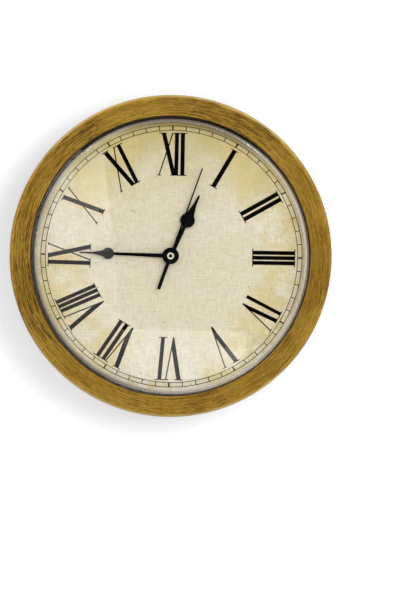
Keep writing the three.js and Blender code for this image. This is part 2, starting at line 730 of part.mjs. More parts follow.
function bored(solid, radius, rear, front) {
  return cut(solid, bar(CENTRE, radius, rear - FIT, front + FIT));
}

// Arbor that turns in the train plate in front and in the bridge behind.
function trainArbor() {
  return bar(CENTRE, ARBOR_RADIUS, bridgeRear + FIT, platePlane - FIT, ARBOR_FACETS);
}

function centreWheel() {
  const rear = layerFront(3) - WHEEL_THICKNESS;
  const front = minuteHandFront;
  const arbor = bar(CENTRE, centreArborOuter, rear, front);
  return bored(join(arbor, wheel(CENTRE_TEETH, CENTRE_MODULE, 3)), centreArborInner, rear, front);
}

function thirdWheel() {
  const phase = meshPhase(THIRD_DIRECTION, CENTRE_TEETH, TRAIN_PINION_TEETH);
  const leaves = pinion(TRAIN_PINION_TEETH, CENTRE_MODULE, 3, phase);
  return join(trainArbor(), leaves, wheel(THIRD_TEETH, thirdModule, 4));
}

function secondWheel() {
  const phase = meshPhase(THIRD_DIRECTION + HALF_TURN, THIRD_TEETH, TRAIN_PINION_TEETH);
  const leaves = pinion(TRAIN_PINION_TEETH, thirdModule, 4, phase);
  const arbor = bar(CENTRE, SECOND_ARBOR_RADIUS, bridgeRear + FIT, eyeletFloor, ARBOR_FACETS);
  return join(arbor, leaves, wheel(SECOND_TEETH, FIFTH_MODULE, 5));
}

function fifthWheel() {
  const phase = meshPhase(FIFTH_DIRECTION, SECOND_TEETH, TRAIN_PINION_TEETH);
  const leaves = pinion(TRAIN_PINION_TEETH, FIFTH_MODULE, 5, phase);
  return join(trainArbor(), leaves, wheel(FIFTH_TEETH, ROTOR_MODULE, 6));
}

function rotor() {
  const phase = meshPhase(ROTOR_DIRECTION, FIFTH_TEETH, TRAIN_PINION_TEETH);
  const leaves = pinion(TRAIN_PINION_TEETH, ROTOR_MODULE, 6, phase);
  const magnet = bar(CENTRE, MAGNET_RADIUS, magnetFront - MAGNET_LENGTH, magnetFront);
  return join(trainArbor(), leaves, magnet);
}

function cannonPinion() {
  const rear = layerFront(1) - WHEEL_THICKNESS;
  const front = minuteHandFront + FIT;
  const sleeve = bar(CENTRE, cannonOuter, layerFront(1) - FIT, front);
  const leaves = toothed(CANNON_TEETH, cannonModule, rear, layerFront(1));
  return bored(join(sleeve, leaves), cannonInner, rear, front);
}

function motionWheel() {
  const phase = meshPhase(MOTION_DIRECTION, CANNON_TEETH, MOTION_TEETH);
  const leaves = pinion(MOTION_PINION_TEETH, hourModule, 0);
  const knobEnd = caseRear - FIT - KNOB_HEIGHT + KNOB_ROOF + FIT;
  const arbor = bar(CENTRE, MOTION_ARBOR_RADIUS, knobEnd, caseInside + FIT);
  return join(arbor, leaves, wheel(MOTION_TEETH, cannonModule, 1, phase));
}

function hourWheel() {
  const phase = meshPhase(MOTION_DIRECTION - HALF_TURN, MOTION_PINION_TEETH, HOUR_TEETH);
  const rear = layerFront(0) - WHEEL_THICKNESS;
  const front = hourHandFront + FIT;
  const sleeve = bar(CENTRE, hourTubeOuter, rear, front);
  return bored(join(sleeve, wheel(HOUR_TEETH, hourModule, 0, phase)), hourTubeInner, rear, front);
}

function settingKnob() {
  const front = caseRear - FIT;
  const rear = front - KNOB_HEIGHT;
  const flutes = Array.from({ length: KNOB_FLUTES }, (_, index) => {
    const place = around(KNOB_DIAMETER / 2, 2 * HALF_TURN * index / KNOB_FLUTES);
    return bar(place, KNOB_FLUTE_RADIUS, rear - FIT, front + FIT, ARBOR_FACETS);
  });
  const socket = bar(CENTRE, MOTION_ARBOR_RADIUS + FIT, rear + KNOB_ROOF, front + FIT);
  return cut(bar(CENTRE, KNOB_DIAMETER / 2, rear, front, 2 * KNOB_FLUTES), socket, ...flutes);
}

// The case is one moulding with the battery bay open to the rear and posts that carry the plates.
function movementCase() {
  const outline = roundedRectangle(caseLeft, caseRight, -caseTop, caseTop, CASE_CORNER_RADIUS);
  const open = caseRear - CASE_WALL;
  const wheelSpace = block(caseLeft + CASE_WALL, bayLeft - CASE_WALL, open, caseInside, -bayTop, bayTop);
  const bay = block(bayLeft, bayRight, open, caseInside, -bayTop, bayTop);
  const rebateHalf = caseTop + FIT;
  const rebateLeft = caseLeft - CASE_WALL;
  const rebate = block(rebateLeft, bayLeft, open, coverFront + FIT, -rebateHalf, rebateHalf);
  const inWall = caseInside + FIT;
  const post = (place, radius, rear) => bar(place, radius, rear, inWall, ARBOR_FACETS);
  const posts = [
    ...platePosts.map((place) => post(place, POST_RADIUS, platePlane + FIT)),
    ...boardPosts.map((place) => post(place, POST_RADIUS, boardFront + FIT)),
    ...boardPosts.map((place) => post(place, SPIGOT_RADIUS, boardFront - BOARD_THICKNESS)),
    ...coilPosts.map((place) => post(place, POST_RADIUS, coreFront + FIT)),
    ...coilPosts.map((place) => post(place, SPIGOT_RADIUS, statorRear)),
  ];
  const flangeSeat = caseInside + BUSH_FLANGE_THICKNESS + FIT;
  const flangeSpace = bar(CENTRE, BUSH_FLANGE_DIAMETER / 2 + FIT, open, flangeSeat);
  const motionPivot = bar(motionPlace, MOTION_ARBOR_RADIUS + FIT, open, caseInside + 2 * FIT);
  const hollow = cut(plate(outline, caseRear, caseFront), wheelSpace, bay, rebate);
  return cut(
    join(hollow, ...posts),
    flangeSpace,
    motionPivot,
    bar(CENTRE, bushHole, open, caseFront + FIT),
  );
}

function movementCover() {
  const right = bayLeft - FIT;
  const outline = roundedRectangle(caseLeft, right, -caseTop, caseTop, CASE_CORNER_RADIUS);
  const squareSide = block(right - 2 * CASE_CORNER_RADIUS, right, caseRear, coverFront, -caseTop, caseTop);
  const knobHole = bar(motionPlace, MOTION_ARBOR_RADIUS + FIT, caseRear - FIT, coverFront + FIT);
  return cut(join(plate(outline, caseRear, coverFront), squareSide), knobHole);
}

// Plate of the wheel train with the arbors' holes, drawn once for the train plate and the bridge.
function trainOutline(front) {
  const outline = roundedRectangle(plateLeft, plateRight, plateBottom, plateTop, POST_RADIUS);
  const rear = front - PLATE_THICKNESS;
  const hole = (place, radius) => bar(place, radius, rear - FIT, front + FIT, ARBOR_FACETS);
  return cut(
    plate(outline, rear, front),
    hole(thirdPlace, ARBOR_RADIUS + FIT),
    hole(fifthPlace, ARBOR_RADIUS + FIT),
    hole(rotorPlace, ARBOR_RADIUS + FIT),
    hole(motionPlace, MOTION_ARBOR_RADIUS + FIT),
  );
}

function trainPlate() {
  const posts = platePosts.flatMap((place) => [
    bar(place, POST_RADIUS, bridgeFront + FIT, platePlane, ARBOR_FACETS),
    bar(place, SPIGOT_RADIUS, bridgeRear, platePlane, ARBOR_FACETS),
  ]);
  const centreHole = bar(CENTRE, centreArborOuter + FIT, bridgeFront, platePlane + FIT);
  return cut(join(trainOutline(platePlane), ...posts), centreHole);
}

function trainBridge() {
  const span = [bridgeRear - FIT, bridgeFront + FIT];
  const spigotHoles = platePosts.map((place) => bar(place, SPIGOT_RADIUS + FIT, ...span, ARBOR_FACETS));
  return cut(trainOutline(bridgeFront), ...spigotHoles, bar(CENTRE, SECOND_ARBOR_RADIUS + FIT, ...span));
}

function rubberCushion() {
  const rear = caseFront + FIT;
  const front = rear + CUSHION_THICKNESS;
  return bored(bar(CENTRE, CUSHION_DIAMETER / 2, rear, front, HUB_FACETS), bushHole, rear, front);
}

function shaftBush() {
  const flange = bar(CENTRE, BUSH_FLANGE_DIAMETER / 2, caseInside, caseInside + BUSH_FLANGE_THICKNESS);
  const sleeve = bar(CENTRE, bushOuter, caseInside, bushFront);
  return bored(join(flange, sleeve), bushInner, caseInside, bushFront);
}

function shaftNut() {
  const corners = NUT_FLATS / Math.sqrt(3);
  const front = nutRear + NUT_THICKNESS;
  return bored(bar(CENTRE, corners, nutRear, front, NUT_SIDES), bushHole, nutRear, front);
}

function battery() {
  const shoulder = BATTERY_LENGTH / 2 - BATTERY_BUTTON_HEIGHT;
  const button = upright(0, 0, BATTERY_BUTTON_DIAMETER / 2, 0, BATTERY_LENGTH / 2);
  return join(upright(0, 0, BATTERY_DIAMETER / 2, -BATTERY_LENGTH / 2, shoulder, HUB_FACETS), button);
}

// Bent strip that bulges towards the battery.
function batteryContact() {
  const half = CONTACT_WIDTH / 2;
  const shape = new THREE.Shape([
    new THREE.Vector2(-half, CONTACT_THICKNESS),
    new THREE.Vector2(-half, 0),
    new THREE.Vector2(-half / 2, 0),
    new THREE.Vector2(0, -CONTACT_SPRING),
    new THREE.Vector2(half / 2, 0),
    new THREE.Vector2(half, 0),
    new THREE.Vector2(half, CONTACT_THICKNESS),
    new THREE.Vector2(half / 2, CONTACT_THICKNESS),
    new THREE.Vector2(0, CONTACT_THICKNESS - CONTACT_SPRING),
    new THREE.Vector2(-half / 2, CONTACT_THICKNESS),
  ]);
  return plate(shape, -half, half);
}

function circuitBoard() {
  const board = block(boardLeft, boardRight, boardFront - BOARD_THICKNESS, boardFront, -boardTop, boardTop);
  const holes = boardPosts.map((place) => {
    const rear = boardFront - 2 * BOARD_THICKNESS;
    return bar(place, SPIGOT_RADIUS + FIT, rear, boardFront + FIT, ARBOR_FACETS);
  });
  return cut(board, ...holes);
}

function driverChip() {
  return turned([
    [0, 0],
    [CHIP_SIZE / 2, 0],
    [CHIP_SIZE / 2, -CHIP_HEIGHT / 3],
    [CHIP_SIZE / 3, CHIP_CROWN - CHIP_HEIGHT],
    [0, -CHIP_HEIGHT],
  ], HOLE_FACETS);
}

function quartzCrystal() {
  const half = CRYSTAL_LENGTH / 2;
  const foot = upright(0, 0, CRYSTAL_DIAMETER / 2 + FIT / 2, -half, FIT - half, ARBOR_FACETS);
  return join(upright(0, 0, CRYSTAL_DIAMETER / 2, -half, half, ARBOR_FACETS), foot);
}

function coilBobbin() {
  const boreHalf = CORE_WIDTH / 2 + FIT;
  const bore = [coilForward - STATOR_THICKNESS / 2 - FIT, coilForward + STATOR_THICKNESS / 2 + FIT];
  const flange = (left) => {
    return crosswise(coilForward, coilZ, COIL_FLANGE_RADIUS, left, left + COIL_FLANGE_THICKNESS);
  };
  const sleeve = crosswise(coilForward, coilZ, boreHalf + BOBBIN_WALL, coilLeft, coilRight);
  return cut(
    join(sleeve, flange(coilLeft), flange(coilRight - COIL_FLANGE_THICKNESS)),
    block(coilLeft - FIT, coilRight + FIT, ...bore, coilZ - boreHalf, coilZ + boreHalf),
  );
}

function coilWinding() {
  const left = coilLeft + COIL_FLANGE_THICKNESS + FIT;
  const right = coilRight - COIL_FLANGE_THICKNESS - FIT;
  const inner = CORE_WIDTH / 2 + FIT + BOBBIN_WALL + FIT;
  return cut(
    crosswise(coilForward, coilZ, COIL_FLANGE_RADIUS - FIT, left, right),
    crosswise(coilForward, coilZ, inner, left - FIT, right + FIT),
  );
}

function coilCore() {
  const half = CORE_WIDTH / 2;
  const [left, right] = coilPosts.map((place) => place.x);
  const strip = block(left, right, coreRear, coreFront, coilZ - half, coilZ + half);
  const ends = coilPosts.map((place) => bar(place, STATOR_ARM_WIDTH / 2, coreRear, coreFront));
  const [rear, front] = [coreRear - FIT, coreFront + FIT];
  const holes = coilPosts.map((place) => bar(place, SPIGOT_RADIUS + FIT, rear, front, ARBOR_FACETS));
  return cut(join(strip, ...ends), ...holes);
}

// The stator's ring surrounds the magnet, and its two arms lead down to the ends of the coil core.
function statorPlate() {
  const bandBottom = rotorPlace.z - statorRing;
  const bandTop = bandBottom + STATOR_ARM_WIDTH;
  const band = block(statorLeft, statorRight, statorRear, statorFront, bandBottom, bandTop);
  const arms = coilPosts.map((place) => {
    const left = place.x - STATOR_ARM_WIDTH / 2;
    return block(left, left + STATOR_ARM_WIDTH, statorRear, statorFront, coilZ, bandTop);
  });
  const ends = coilPosts.map((place) => bar(place, STATOR_ARM_WIDTH / 2, statorRear, statorFront));
  const ring = bar(rotorPlace, statorRing, statorRear, statorFront, HUB_FACETS);
  const rear = statorRear - FIT;
  const front = statorFront + FIT;
  const magnetHole = bar(rotorPlace, MAGNET_RADIUS + MAGNET_AIR_GAP, rear, front, HUB_FACETS);
  const holes = coilPosts.map((place) => bar(place, SPIGOT_RADIUS + FIT, rear, front, ARBOR_FACETS));
  return cut(join(band, ring, ...arms, ...ends), magnetHole, ...holes);
}

// Hand with a round bulb that runs out through a drawn-in neck to a narrow tip.
function bulbHand(size, rear, bore) {
  const shape = new THREE.Shape();
  const side = (sign, points) => points.map(([across, along]) => new THREE.Vector2(sign * across, along));
  const entry = Math.asin(size.stem / 2 / size.bulbRadius);
  const exit = degrees(BULB_EXIT_ANGLE);
  const bulb = Array.from({ length: BULB_FACETS + 1 }, (_, index) => {
    const angle = entry + (exit - entry) * index / BULB_FACETS;
    return [size.bulbRadius * Math.sin(angle), size.bulbPlace - size.bulbRadius * Math.cos(angle)];
  });
  const [neckStart] = bulb.slice(-1);
  const neckPlace = size.bulbPlace + size.bulbRadius + size.neckLength;
  const ogee = new THREE.CubicBezierCurve(
    new THREE.Vector2(...neckStart),
    new THREE.Vector2(neckStart[0] - size.bulbRadius / 3, neckStart[1] + size.bulbRadius / 4),
    new THREE.Vector2(size.neck / 2, neckStart[1] + size.bulbRadius / 3),
    new THREE.Vector2(size.neck / 2, neckPlace),
  ).getPoints(NECK_FACETS).slice(1).map((point) => [point.x, point.y]);
  const tipHalf = size.tip / 2;
  const half = [
    [size.hub / 2, 0],
    ...bulb,
    ...ogee,
    [tipHalf, size.length - tipHalf],
    [tipHalf / 2, size.length],
  ];
  shape.setFromPoints([...side(1, half), ...side(-1, half).reverse()]);
  const front = rear + HAND_THICKNESS;
  const hub = bar(CENTRE, HAND_HUB_RADIUS, rear, front, HUB_FACETS);
  return bored(join(plate(shape, rear, front), hub), bore, rear, front);
}

function minuteHand() {
  return bulbHand({
    length: MINUTE_LENGTH,
    hub: MINUTE_HUB_WIDTH,
    stem: MINUTE_STEM_WIDTH,
    bulbPlace: MINUTE_BULB_PLACE,
    bulbRadius: MINUTE_BULB_RADIUS,
    neckLength: MINUTE_NECK_LENGTH,
    neck: MINUTE_NECK_WIDTH,
    tip: MINUTE_TIP_WIDTH,
  }, minuteHandRear, cannonOuter + FIT);
}

function hourHand() {
  return bulbHand({
    length: HOUR_LENGTH,
    hub: HOUR_HUB_WIDTH,
    stem: HOUR_STEM_WIDTH,
    bulbPlace: HOUR_BULB_PLACE,
    bulbRadius: HOUR_BULB_RADIUS,
    neckLength: HOUR_NECK_LENGTH,
    neck: HOUR_NECK_WIDTH,
    tip: HOUR_TIP_WIDTH,
  }, hourHandRear, hourTubeOuter + FIT);
}

function secondHand() {
  const [rear, front] = [secondHandRear, secondHandFront];
  const needleHalf = SECOND_NEEDLE_WIDTH / 2;
  const tailHalf = SECOND_TAIL_WIDTH / 2;
  const needle = block(-needleHalf, needleHalf, rear, front, 0, SECOND_LENGTH);
  const tail = block(-tailHalf, tailHalf, rear, front, -SECOND_TAIL_LENGTH, 0);
  const hub = bar(CENTRE, SECOND_HUB_RADIUS, rear, front, HUB_FACETS);
  return bored(join(needle, tail, hub), EYELET_HOLE_DIAMETER / 2 + FIT, rear, front);
}

// Brass eyelet that joins the second hand to its arbor.
function secondHandBush() {
  const hole = EYELET_HOLE_DIAMETER / 2;
  const rim = EYELET_DIAMETER / 2;
  return turned([
    [centreArborInner, secondHandRear],
    [hole, secondHandRear],
    [hole, eyeletRear],
    [rim, eyeletRear],
    [rim, eyeletFloor],
    [rim - EYELET_HEIGHT / 2, eyeletFront],
    [hole, eyeletFront],
    [hole - FIT / 2, eyeletFloor],
    [centreArborInner, eyeletFloor],
  ], HOLE_FACETS);
}

// Rear panel and its screws

function rearPanel() {
  const openFront = panelFront + DIAL_RING_HEIGHT;
  const ringOuter = dialRadius - DIAL_RING_INSET + DIAL_CLEARANCE;
  const body = turned([
    [0, PANEL_RECESS],
    [lipInner, PANEL_RECESS],
    [lipInner, 0],
    [frontRadius - PANEL_EDGE_INSET, 0],
    [frontRadius - PANEL_EDGE_INSET, PANEL_LIP_THICKNESS],
    [lipOuter, PANEL_LIP_THICKNESS],
    [lipOuter, panelFront],
    [ringOuter, panelFront],
    [ringOuter, openFront],
    [ringOuter - DIAL_RING_WIDTH, openFront],
    [ringOuter - DIAL_RING_WIDTH, panelFront],
    [0, panelFront],
  ]);
  const gap = PANEL_OPENING_CLEARANCE;
  const opening = block(caseLeft - gap, caseRight + gap, 0, dialRear, -caseTop - gap, caseTop + gap);
  const notches = [-1, 1].map((side) => {
    const [low, high] = [side * (earInner - FIT), side * (earOuter + FIT)].sort((a, b) => a - b);
    return block(-FRONT_DIAMETER, earRight + FIT, -RIM_OVERLAP, panelFront + FIT, low, high);
  });
  const pocketForward = RIM_OVERLAP - SNAP_BEAD_SETBACK;
  const pocket = block(
    rimRadius,
    lipInner + SNAP_POCKET_DEPTH,
    pocketForward - SNAP_BEAD_RADIUS,
    pocketForward + SNAP_BEAD_RADIUS,
    -SNAP_BEAD_LENGTH / 2 - FIT,
    SNAP_BEAD_LENGTH / 2 + FIT,
  );
  const screwHoles = screwAngles.map((angle) => {
    const place = around(bossPlace, angle);
    return bar(place, SCREW_DIAMETER / 2 + FIT, -FIT, PANEL_LIP_THICKNESS + FIT, ARBOR_FACETS);
  });
  return cut(body, opening, pocket, ...notches, ...screwHoles);
}

function panelScrew() {
  const head = bar(CENTRE, SCREW_HEAD_DIAMETER / 2, -FIT - SCREW_HEAD_HEIGHT, -FIT, HOLE_FACETS);
  const shank = bar(CENTRE, SCREW_DIAMETER / 2, -FIT, SCREW_LENGTH, ARBOR_FACETS);
  const half = SCREW_SLOT_WIDTH / 2;
  const slotRear = -SCREW_HEAD_HEIGHT - 2 * FIT;
  const reach = SCREW_HEAD_DIAMETER / 3;
  const slotFront = -FIT - SCREW_HEAD_HEIGHT / 2;
  return cut(
    join(head, shank),
    block(-reach, reach, slotRear, slotFront, -half, half),
    block(-half, half, slotRear, slotFront, -reach, reach),
  );
}

// Assembly

function placed(mesh, x, forward, z) {
  mesh.position.set(x, -forward, z);
  return mesh;
}

function handGroup(angle, ...meshes) {
  const group = new THREE.Group();
  group.rotation.y = degrees(angle);
  return group.add(...meshes);
}

function shelfMesh(name, turn) {
  const mesh = piece(name, shelf(), BLACK_PLASTIC, 0.55);
  mesh.rotation.y = turn;
  return mesh;
}

function movementGroup() {
  const group = new THREE.Group();
  const contact = (name, turn) => {
    const mesh = placed(
      piece(name, batteryContact(), STEEL, 0.35, 0.9),
      batteryX,
      batteryForward,
      (turn ? -1 : 1) * (bayTop - FIT - CONTACT_THICKNESS),
    );
    mesh.rotation.y = turn;
    return mesh;
  };
  const partsRear = boardFront - BOARD_THICKNESS - FIT;
  group.add(
    piece("movement_case", movementCase(), BLACK_PLASTIC, 0.6),
    piece("movement_cover", movementCover(), BLACK_PLASTIC, 0.6),
    piece("train_plate", trainPlate(), WHITE_PLASTIC, 0.5),
    piece("train_bridge", trainBridge(), WHITE_PLASTIC, 0.5),
    piece("rubber_cushion", rubberCushion(), RUBBER, 0.9),
    piece("shaft_bush", shaftBush(), BRASS, 0.3, 1),
    piece("shaft_nut", shaftNut(), BRASS, 0.3, 1),
    placed(piece("battery", battery(), BATTERY_JACKET, 0.4), batteryX, batteryForward, 0),
    contact("battery_contact_positive", 0),
    contact("battery_contact_negative", Math.PI),
    piece("circuit_board", circuitBoard(), BOARD_GREEN, 0.6),
    placed(piece("driver_chip", driverChip(), BLACK_PLASTIC, 0.4), boardX, partsRear, 0),
    placed(
      piece("quartz_crystal", quartzCrystal(), STEEL, 0.3, 0.9),
      boardX,
      partsRear - CRYSTAL_DIAMETER / 2 - FIT / 2,
      boardTop / 2,
    ),
    piece("coil_bobbin", coilBobbin(), WHITE_PLASTIC, 0.5),
    piece("coil_winding", coilWinding(), COPPER, 0.4, 0.8),
    piece("coil_core", coilCore(), STEEL, 0.4, 0.9),
    piece("stator_plate", statorPlate(), STEEL, 0.4, 0.9),
    piece("centre_wheel", centreWheel(), WHITE_PLASTIC, 0.45),
    piece("cannon_pinion", cannonPinion(), BRASS, 0.3, 1),
    piece("hour_wheel", hourWheel(), WHITE_PLASTIC, 0.45),
    piece("second_wheel", secondWheel(), WHITE_PLASTIC, 0.45),
    placed(piece("third_wheel", thirdWheel(), WHITE_PLASTIC, 0.45), thirdPlace.x, 0, thirdPlace.z),
    placed(piece("fifth_wheel", fifthWheel(), WHITE_PLASTIC, 0.45), fifthPlace.x, 0, fifthPlace.z),
    placed(piece("rotor", rotor(), MAGNET_GREY, 0.5, 0.6), rotorPlace.x, 0, rotorPlace.z),
    placed(piece("motion_wheel", motionWheel(), WHITE_PLASTIC, 0.45), motionPlace.x, 0, motionPlace.z),
    placed(piece("setting_knob", settingKnob(), BLACK_PLASTIC, 0.6), motionPlace.x, 0, motionPlace.z),
  );
  return group;
}

function frontGroup() {
  const group = new THREE.Group();
  const screws = screwAngles.map((angle, index) => {
    const place = around(bossPlace, angle);
    const screw = piece(`panel_screw_${index + 1}`, panelScrew(), STEEL, 0.35, 0.9);
    return placed(screw, place.x, 0, place.z);
  });
  group.add(
    piece("bezel", bezel(), GOLD, 0.4, 0.5),
    piece("lens", lens(), CLEAR, 0.08),
    piece("dial", dial(), DIAL_PAPER, 0.7),
    piece("rear_panel", rearPanel(), BLACK_PLASTIC, 0.55),
    ...screws,
    movementGroup(),
    handGroup(HOUR_ANGLE, piece("hour_hand", hourHand(), BLACK_PLASTIC, 0.35)),
    handGroup(MINUTE_ANGLE, piece("minute_hand", minuteHand(), BLACK_PLASTIC, 0.35)),
    handGroup(
      SECOND_ANGLE,
      piece("second_hand", secondHand(), BLACK_PLASTIC, 0.35),
      piece("second_hand_bush", secondHandBush(), BRASS, 0.35, 0.9),
    ),
  );
  group.position.y = -frontRear;
  return group;
}

const clock = new THREE.Group();
clock.add(
  piece("back_box", backBox(), BLACK_PLASTIC, 0.55),
  shelfMesh("shelf_upper", 0),
  shelfMesh("shelf_lower", Math.PI),
  placed(piece("hinge_pin", hingePin(), STEEL, 0.3, 0.9), hingeX, hingeForward, 0),
  frontGroup(),
);

export default clock;
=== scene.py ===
import json
import math

import bpy
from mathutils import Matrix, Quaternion, Vector

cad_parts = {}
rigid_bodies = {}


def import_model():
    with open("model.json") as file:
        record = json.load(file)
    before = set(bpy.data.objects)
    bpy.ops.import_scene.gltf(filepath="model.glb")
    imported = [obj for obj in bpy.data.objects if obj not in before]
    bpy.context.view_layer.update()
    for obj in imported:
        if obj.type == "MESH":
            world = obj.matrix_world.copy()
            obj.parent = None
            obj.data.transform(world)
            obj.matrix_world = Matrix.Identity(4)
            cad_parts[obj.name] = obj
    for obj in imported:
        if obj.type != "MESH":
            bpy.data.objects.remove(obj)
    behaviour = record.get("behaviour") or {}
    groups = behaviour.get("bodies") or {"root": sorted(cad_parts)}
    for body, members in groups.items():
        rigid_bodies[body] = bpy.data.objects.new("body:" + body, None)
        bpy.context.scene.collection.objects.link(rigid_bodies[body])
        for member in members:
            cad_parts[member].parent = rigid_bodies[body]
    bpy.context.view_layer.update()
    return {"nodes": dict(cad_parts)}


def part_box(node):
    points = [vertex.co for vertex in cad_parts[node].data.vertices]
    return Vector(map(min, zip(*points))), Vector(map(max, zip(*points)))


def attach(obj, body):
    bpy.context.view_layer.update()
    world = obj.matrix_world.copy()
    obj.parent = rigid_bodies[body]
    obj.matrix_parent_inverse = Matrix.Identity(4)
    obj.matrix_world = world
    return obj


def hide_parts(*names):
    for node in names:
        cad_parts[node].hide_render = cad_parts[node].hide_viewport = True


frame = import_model()

# Back box. A round black moulding that hangs on two wall screws and holds the compartment. Its wall
# leans outwards so that it leaves the mould, and its mouth ends in a stepped rim. Sizes here and below
# are millimetres, with y towards the wall and z up, as in the frame.

MM = 0.001
WELD = 1e-6
FACETS = 192


def limits(node):
    """Lowest and highest corner of a CAD node in millimetres."""
    low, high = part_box(node)
    return low / MM, high / MM


def rounded(corners, steps=5):
    """Points of a closed outline of (across, along, radius) corners, each rounded by its radius."""
    points = []
    for index, (across, along, radius) in enumerate(corners):
        corner = Vector((across, along))
        if radius == 0:
            points.append(corner)
            continue
        to_last = (Vector(corners[index - 1][:2]) - corner).normalized()
        to_next = (Vector(corners[(index + 1) % len(corners)][:2]) - corner).normalized()
        half = to_last.angle(to_next) / 2
        centre = corner + (to_last + to_next).normalized() * radius / math.sin(half)
        start = (corner + to_last * radius / math.tan(half) - centre).normalized()
        end = (corner + to_next * radius / math.tan(half) - centre).normalized()
        points += [centre + start.slerp(end, step / steps) * radius for step in range(steps + 1)]
    return points


def pick(*pieces):
    """Selects these pieces and nothing else, with the first as the active one."""
    bpy.ops.object.select_all(action="DESELECT")
    for piece in pieces:
        piece.select_set(True)
    if pieces:
        bpy.context.view_layer.objects.active = pieces[0]


def draw(points):
    """Draws a string of points, each extruded from the last, in the open mesh or else in a new one."""
    places = [Vector(point) * MM for point in points]
    if bpy.context.mode == "OBJECT":
        pick()
    else:
        bpy.ops.mesh.select_all(action="DESELECT")
    bpy.ops.mesh.primitive_plane_add(size=MM, location=places[0])
    bpy.ops.object.mode_set(mode="EDIT")
    bpy.ops.mesh.merge(type="CENTER")
    for last, place in zip(places, places[1:]):
        bpy.ops.mesh.extrude_region_move(TRANSFORM_OT_translate={"value": place - last})


def closed(weld=WELD):
    """Merges the seams of the open mesh, turns its faces outwards and puts its place in the mesh."""
    bpy.ops.mesh.select_all(action="SELECT")
    bpy.ops.mesh.remove_doubles(threshold=weld)
    bpy.ops.mesh.normals_make_consistent(inside=False)
    bpy.ops.object.mode_set(mode="OBJECT")
    bpy.ops.object.transform_apply()
    return bpy.context.object


def turned(corners, facets=FACETS, upright_at=None):
    """Turns an outline of (radius, place along the axis, rounding) corners once round the clock's own
    axis, or round the upright line through the given x and y."""
    outline = rounded(corners)
    if outline[0].x > 0:
        outline.append(outline[0])
    if upright_at is None:
        draw([(radius, along, 0) for radius, along in outline])
        centre, axis = (0, 0, 0), (0, 1, 0)
    else:
        x, y = upright_at
        draw([(x + radius, y, along) for radius, along in outline])
        centre, axis = (x * MM, y * MM, 0), (0, 0, 1)
    bpy.ops.mesh.select_all(action="SELECT")
    bpy.ops.mesh.spin(steps=facets, angle=math.tau, center=centre, axis=axis)
    return closed()


class Field:
    """A value or colour that varies over a surface. Arithmetic on it adds Math nodes."""

    def __init__(self, socket):
        self.socket = socket

    def add(self, kind, settings, sockets, output=0):
        """Adds a node: first its settings are made, then its sockets are set or linked."""
        tree = self.socket.id_data
        node = tree.nodes.new("ShaderNode" + kind)
        for name, setting in settings.items():
            setattr(node, name, setting)
        for name, value in sockets.items():
            if isinstance(value, Field):
                tree.links.new(value.socket, node.inputs[name])
            else:
                node.inputs[name].default_value = value
        return Field(node.outputs[output])

    def maths(self, operation, first, second):
        return self.add("Math", {"operation": operation}, {0: first, 1: second})

    def __add__(self, other):
        return self.maths("ADD", self, other)

    def __radd__(self, other):
        return self.maths("ADD", other, self)

    def __sub__(self, other):
        return self.maths("SUBTRACT", self, other)

    def __rsub__(self, other):
        return self.maths("SUBTRACT", other, self)

    def __mul__(self, other):
        return self.maths("MULTIPLY", self, other)

    def __rmul__(self, other):
        return self.maths("MULTIPLY", other, self)

    def __truediv__(self, other):
        return self.maths("DIVIDE", self, other)

    def __pow__(self, other):
        return self.maths("POWER", self, other)


def noise(place, scale, detail=2.0, roughness=0.5):
    """Cloudy noise from 0 to 1, with this many clouds to the metre."""
    sockets = {"Vector": place, "Scale": scale, "Detail": detail, "Roughness": roughness}
    return place.add("TexNoise", {}, sockets)


def between(field, low, high):
    """Rises softly from 0 to 1 while the field goes from low to high."""
    sockets = {"Value": field, "From Min": low, "From Max": high}
    return field.add("MapRange", {"interpolation_type": "SMOOTHSTEP"}, sockets)


def blend(mask, low, high):
    """The first colour where the mask is 0 and the second where it is 1."""
    return mask.add("Mix", {"data_type": "RGBA"}, {0: mask, 6: low, 7: high}, output=2)


def relief(height, depth):
    """Bumps of this depth in metres."""
    return height.add("Bump", {}, {"Height": height, "Distance": depth})


def paint(red, green, blue):
    """A colour as it looks on a screen, 0 to 255, in the linear form that a shader takes."""
    linear = [((part / 255 + 0.055) / 1.055) ** 2.4 for part in (red, green, blue)]
    return (*linear, 1)


def finish(name, constants, pattern):
    """Makes a material. The constants are the same all over, and the pattern gives what varies. Where
    it gives a cover too, the surface shows by that much and what lies behind it for the rest."""
    material = bpy.data.materials.new(name)
    material.use_nodes = True
    nodes, links = material.node_tree.nodes, material.node_tree.links
    shader = nodes["Principled BSDF"]
    for socket, value in constants.items():
        shader.inputs[socket].default_value = value
    fields = pattern(Field(nodes.new("ShaderNodeTexCoord").outputs["Object"]))
    cover = fields.pop("cover", None)
    for socket, field in fields.items():
        links.new(field.socket, shader.inputs[socket])
    if cover:
        clear, mixed = nodes.new("ShaderNodeBsdfTransparent"), nodes.new("ShaderNodeMixShader")
        for index, socket in enumerate((cover.socket, clear.outputs[0], shader.outputs[0])):
            links.new(socket, mixed.inputs[index])
        links.new(mixed.outputs[0], nodes["Material Output"].inputs["Surface"])
    return material


def moulded_grain(place):
    cloud = noise(place, 22, detail=3)
    rub = between(noise(place, 90, detail=4), 0.56, 0.7)
    return {
        "Base Color": blend(cloud, paint(27, 27, 30), paint(40, 39, 44)),
        "Roughness": 0.4 + 0.14 * cloud + 0.08 * rub,
        "Normal": relief(noise(place, 1300, detail=1), 0.00003),
    }


black_plastic = finish("black_plastic", {"Specular IOR Level": 0.45}, moulded_grain)

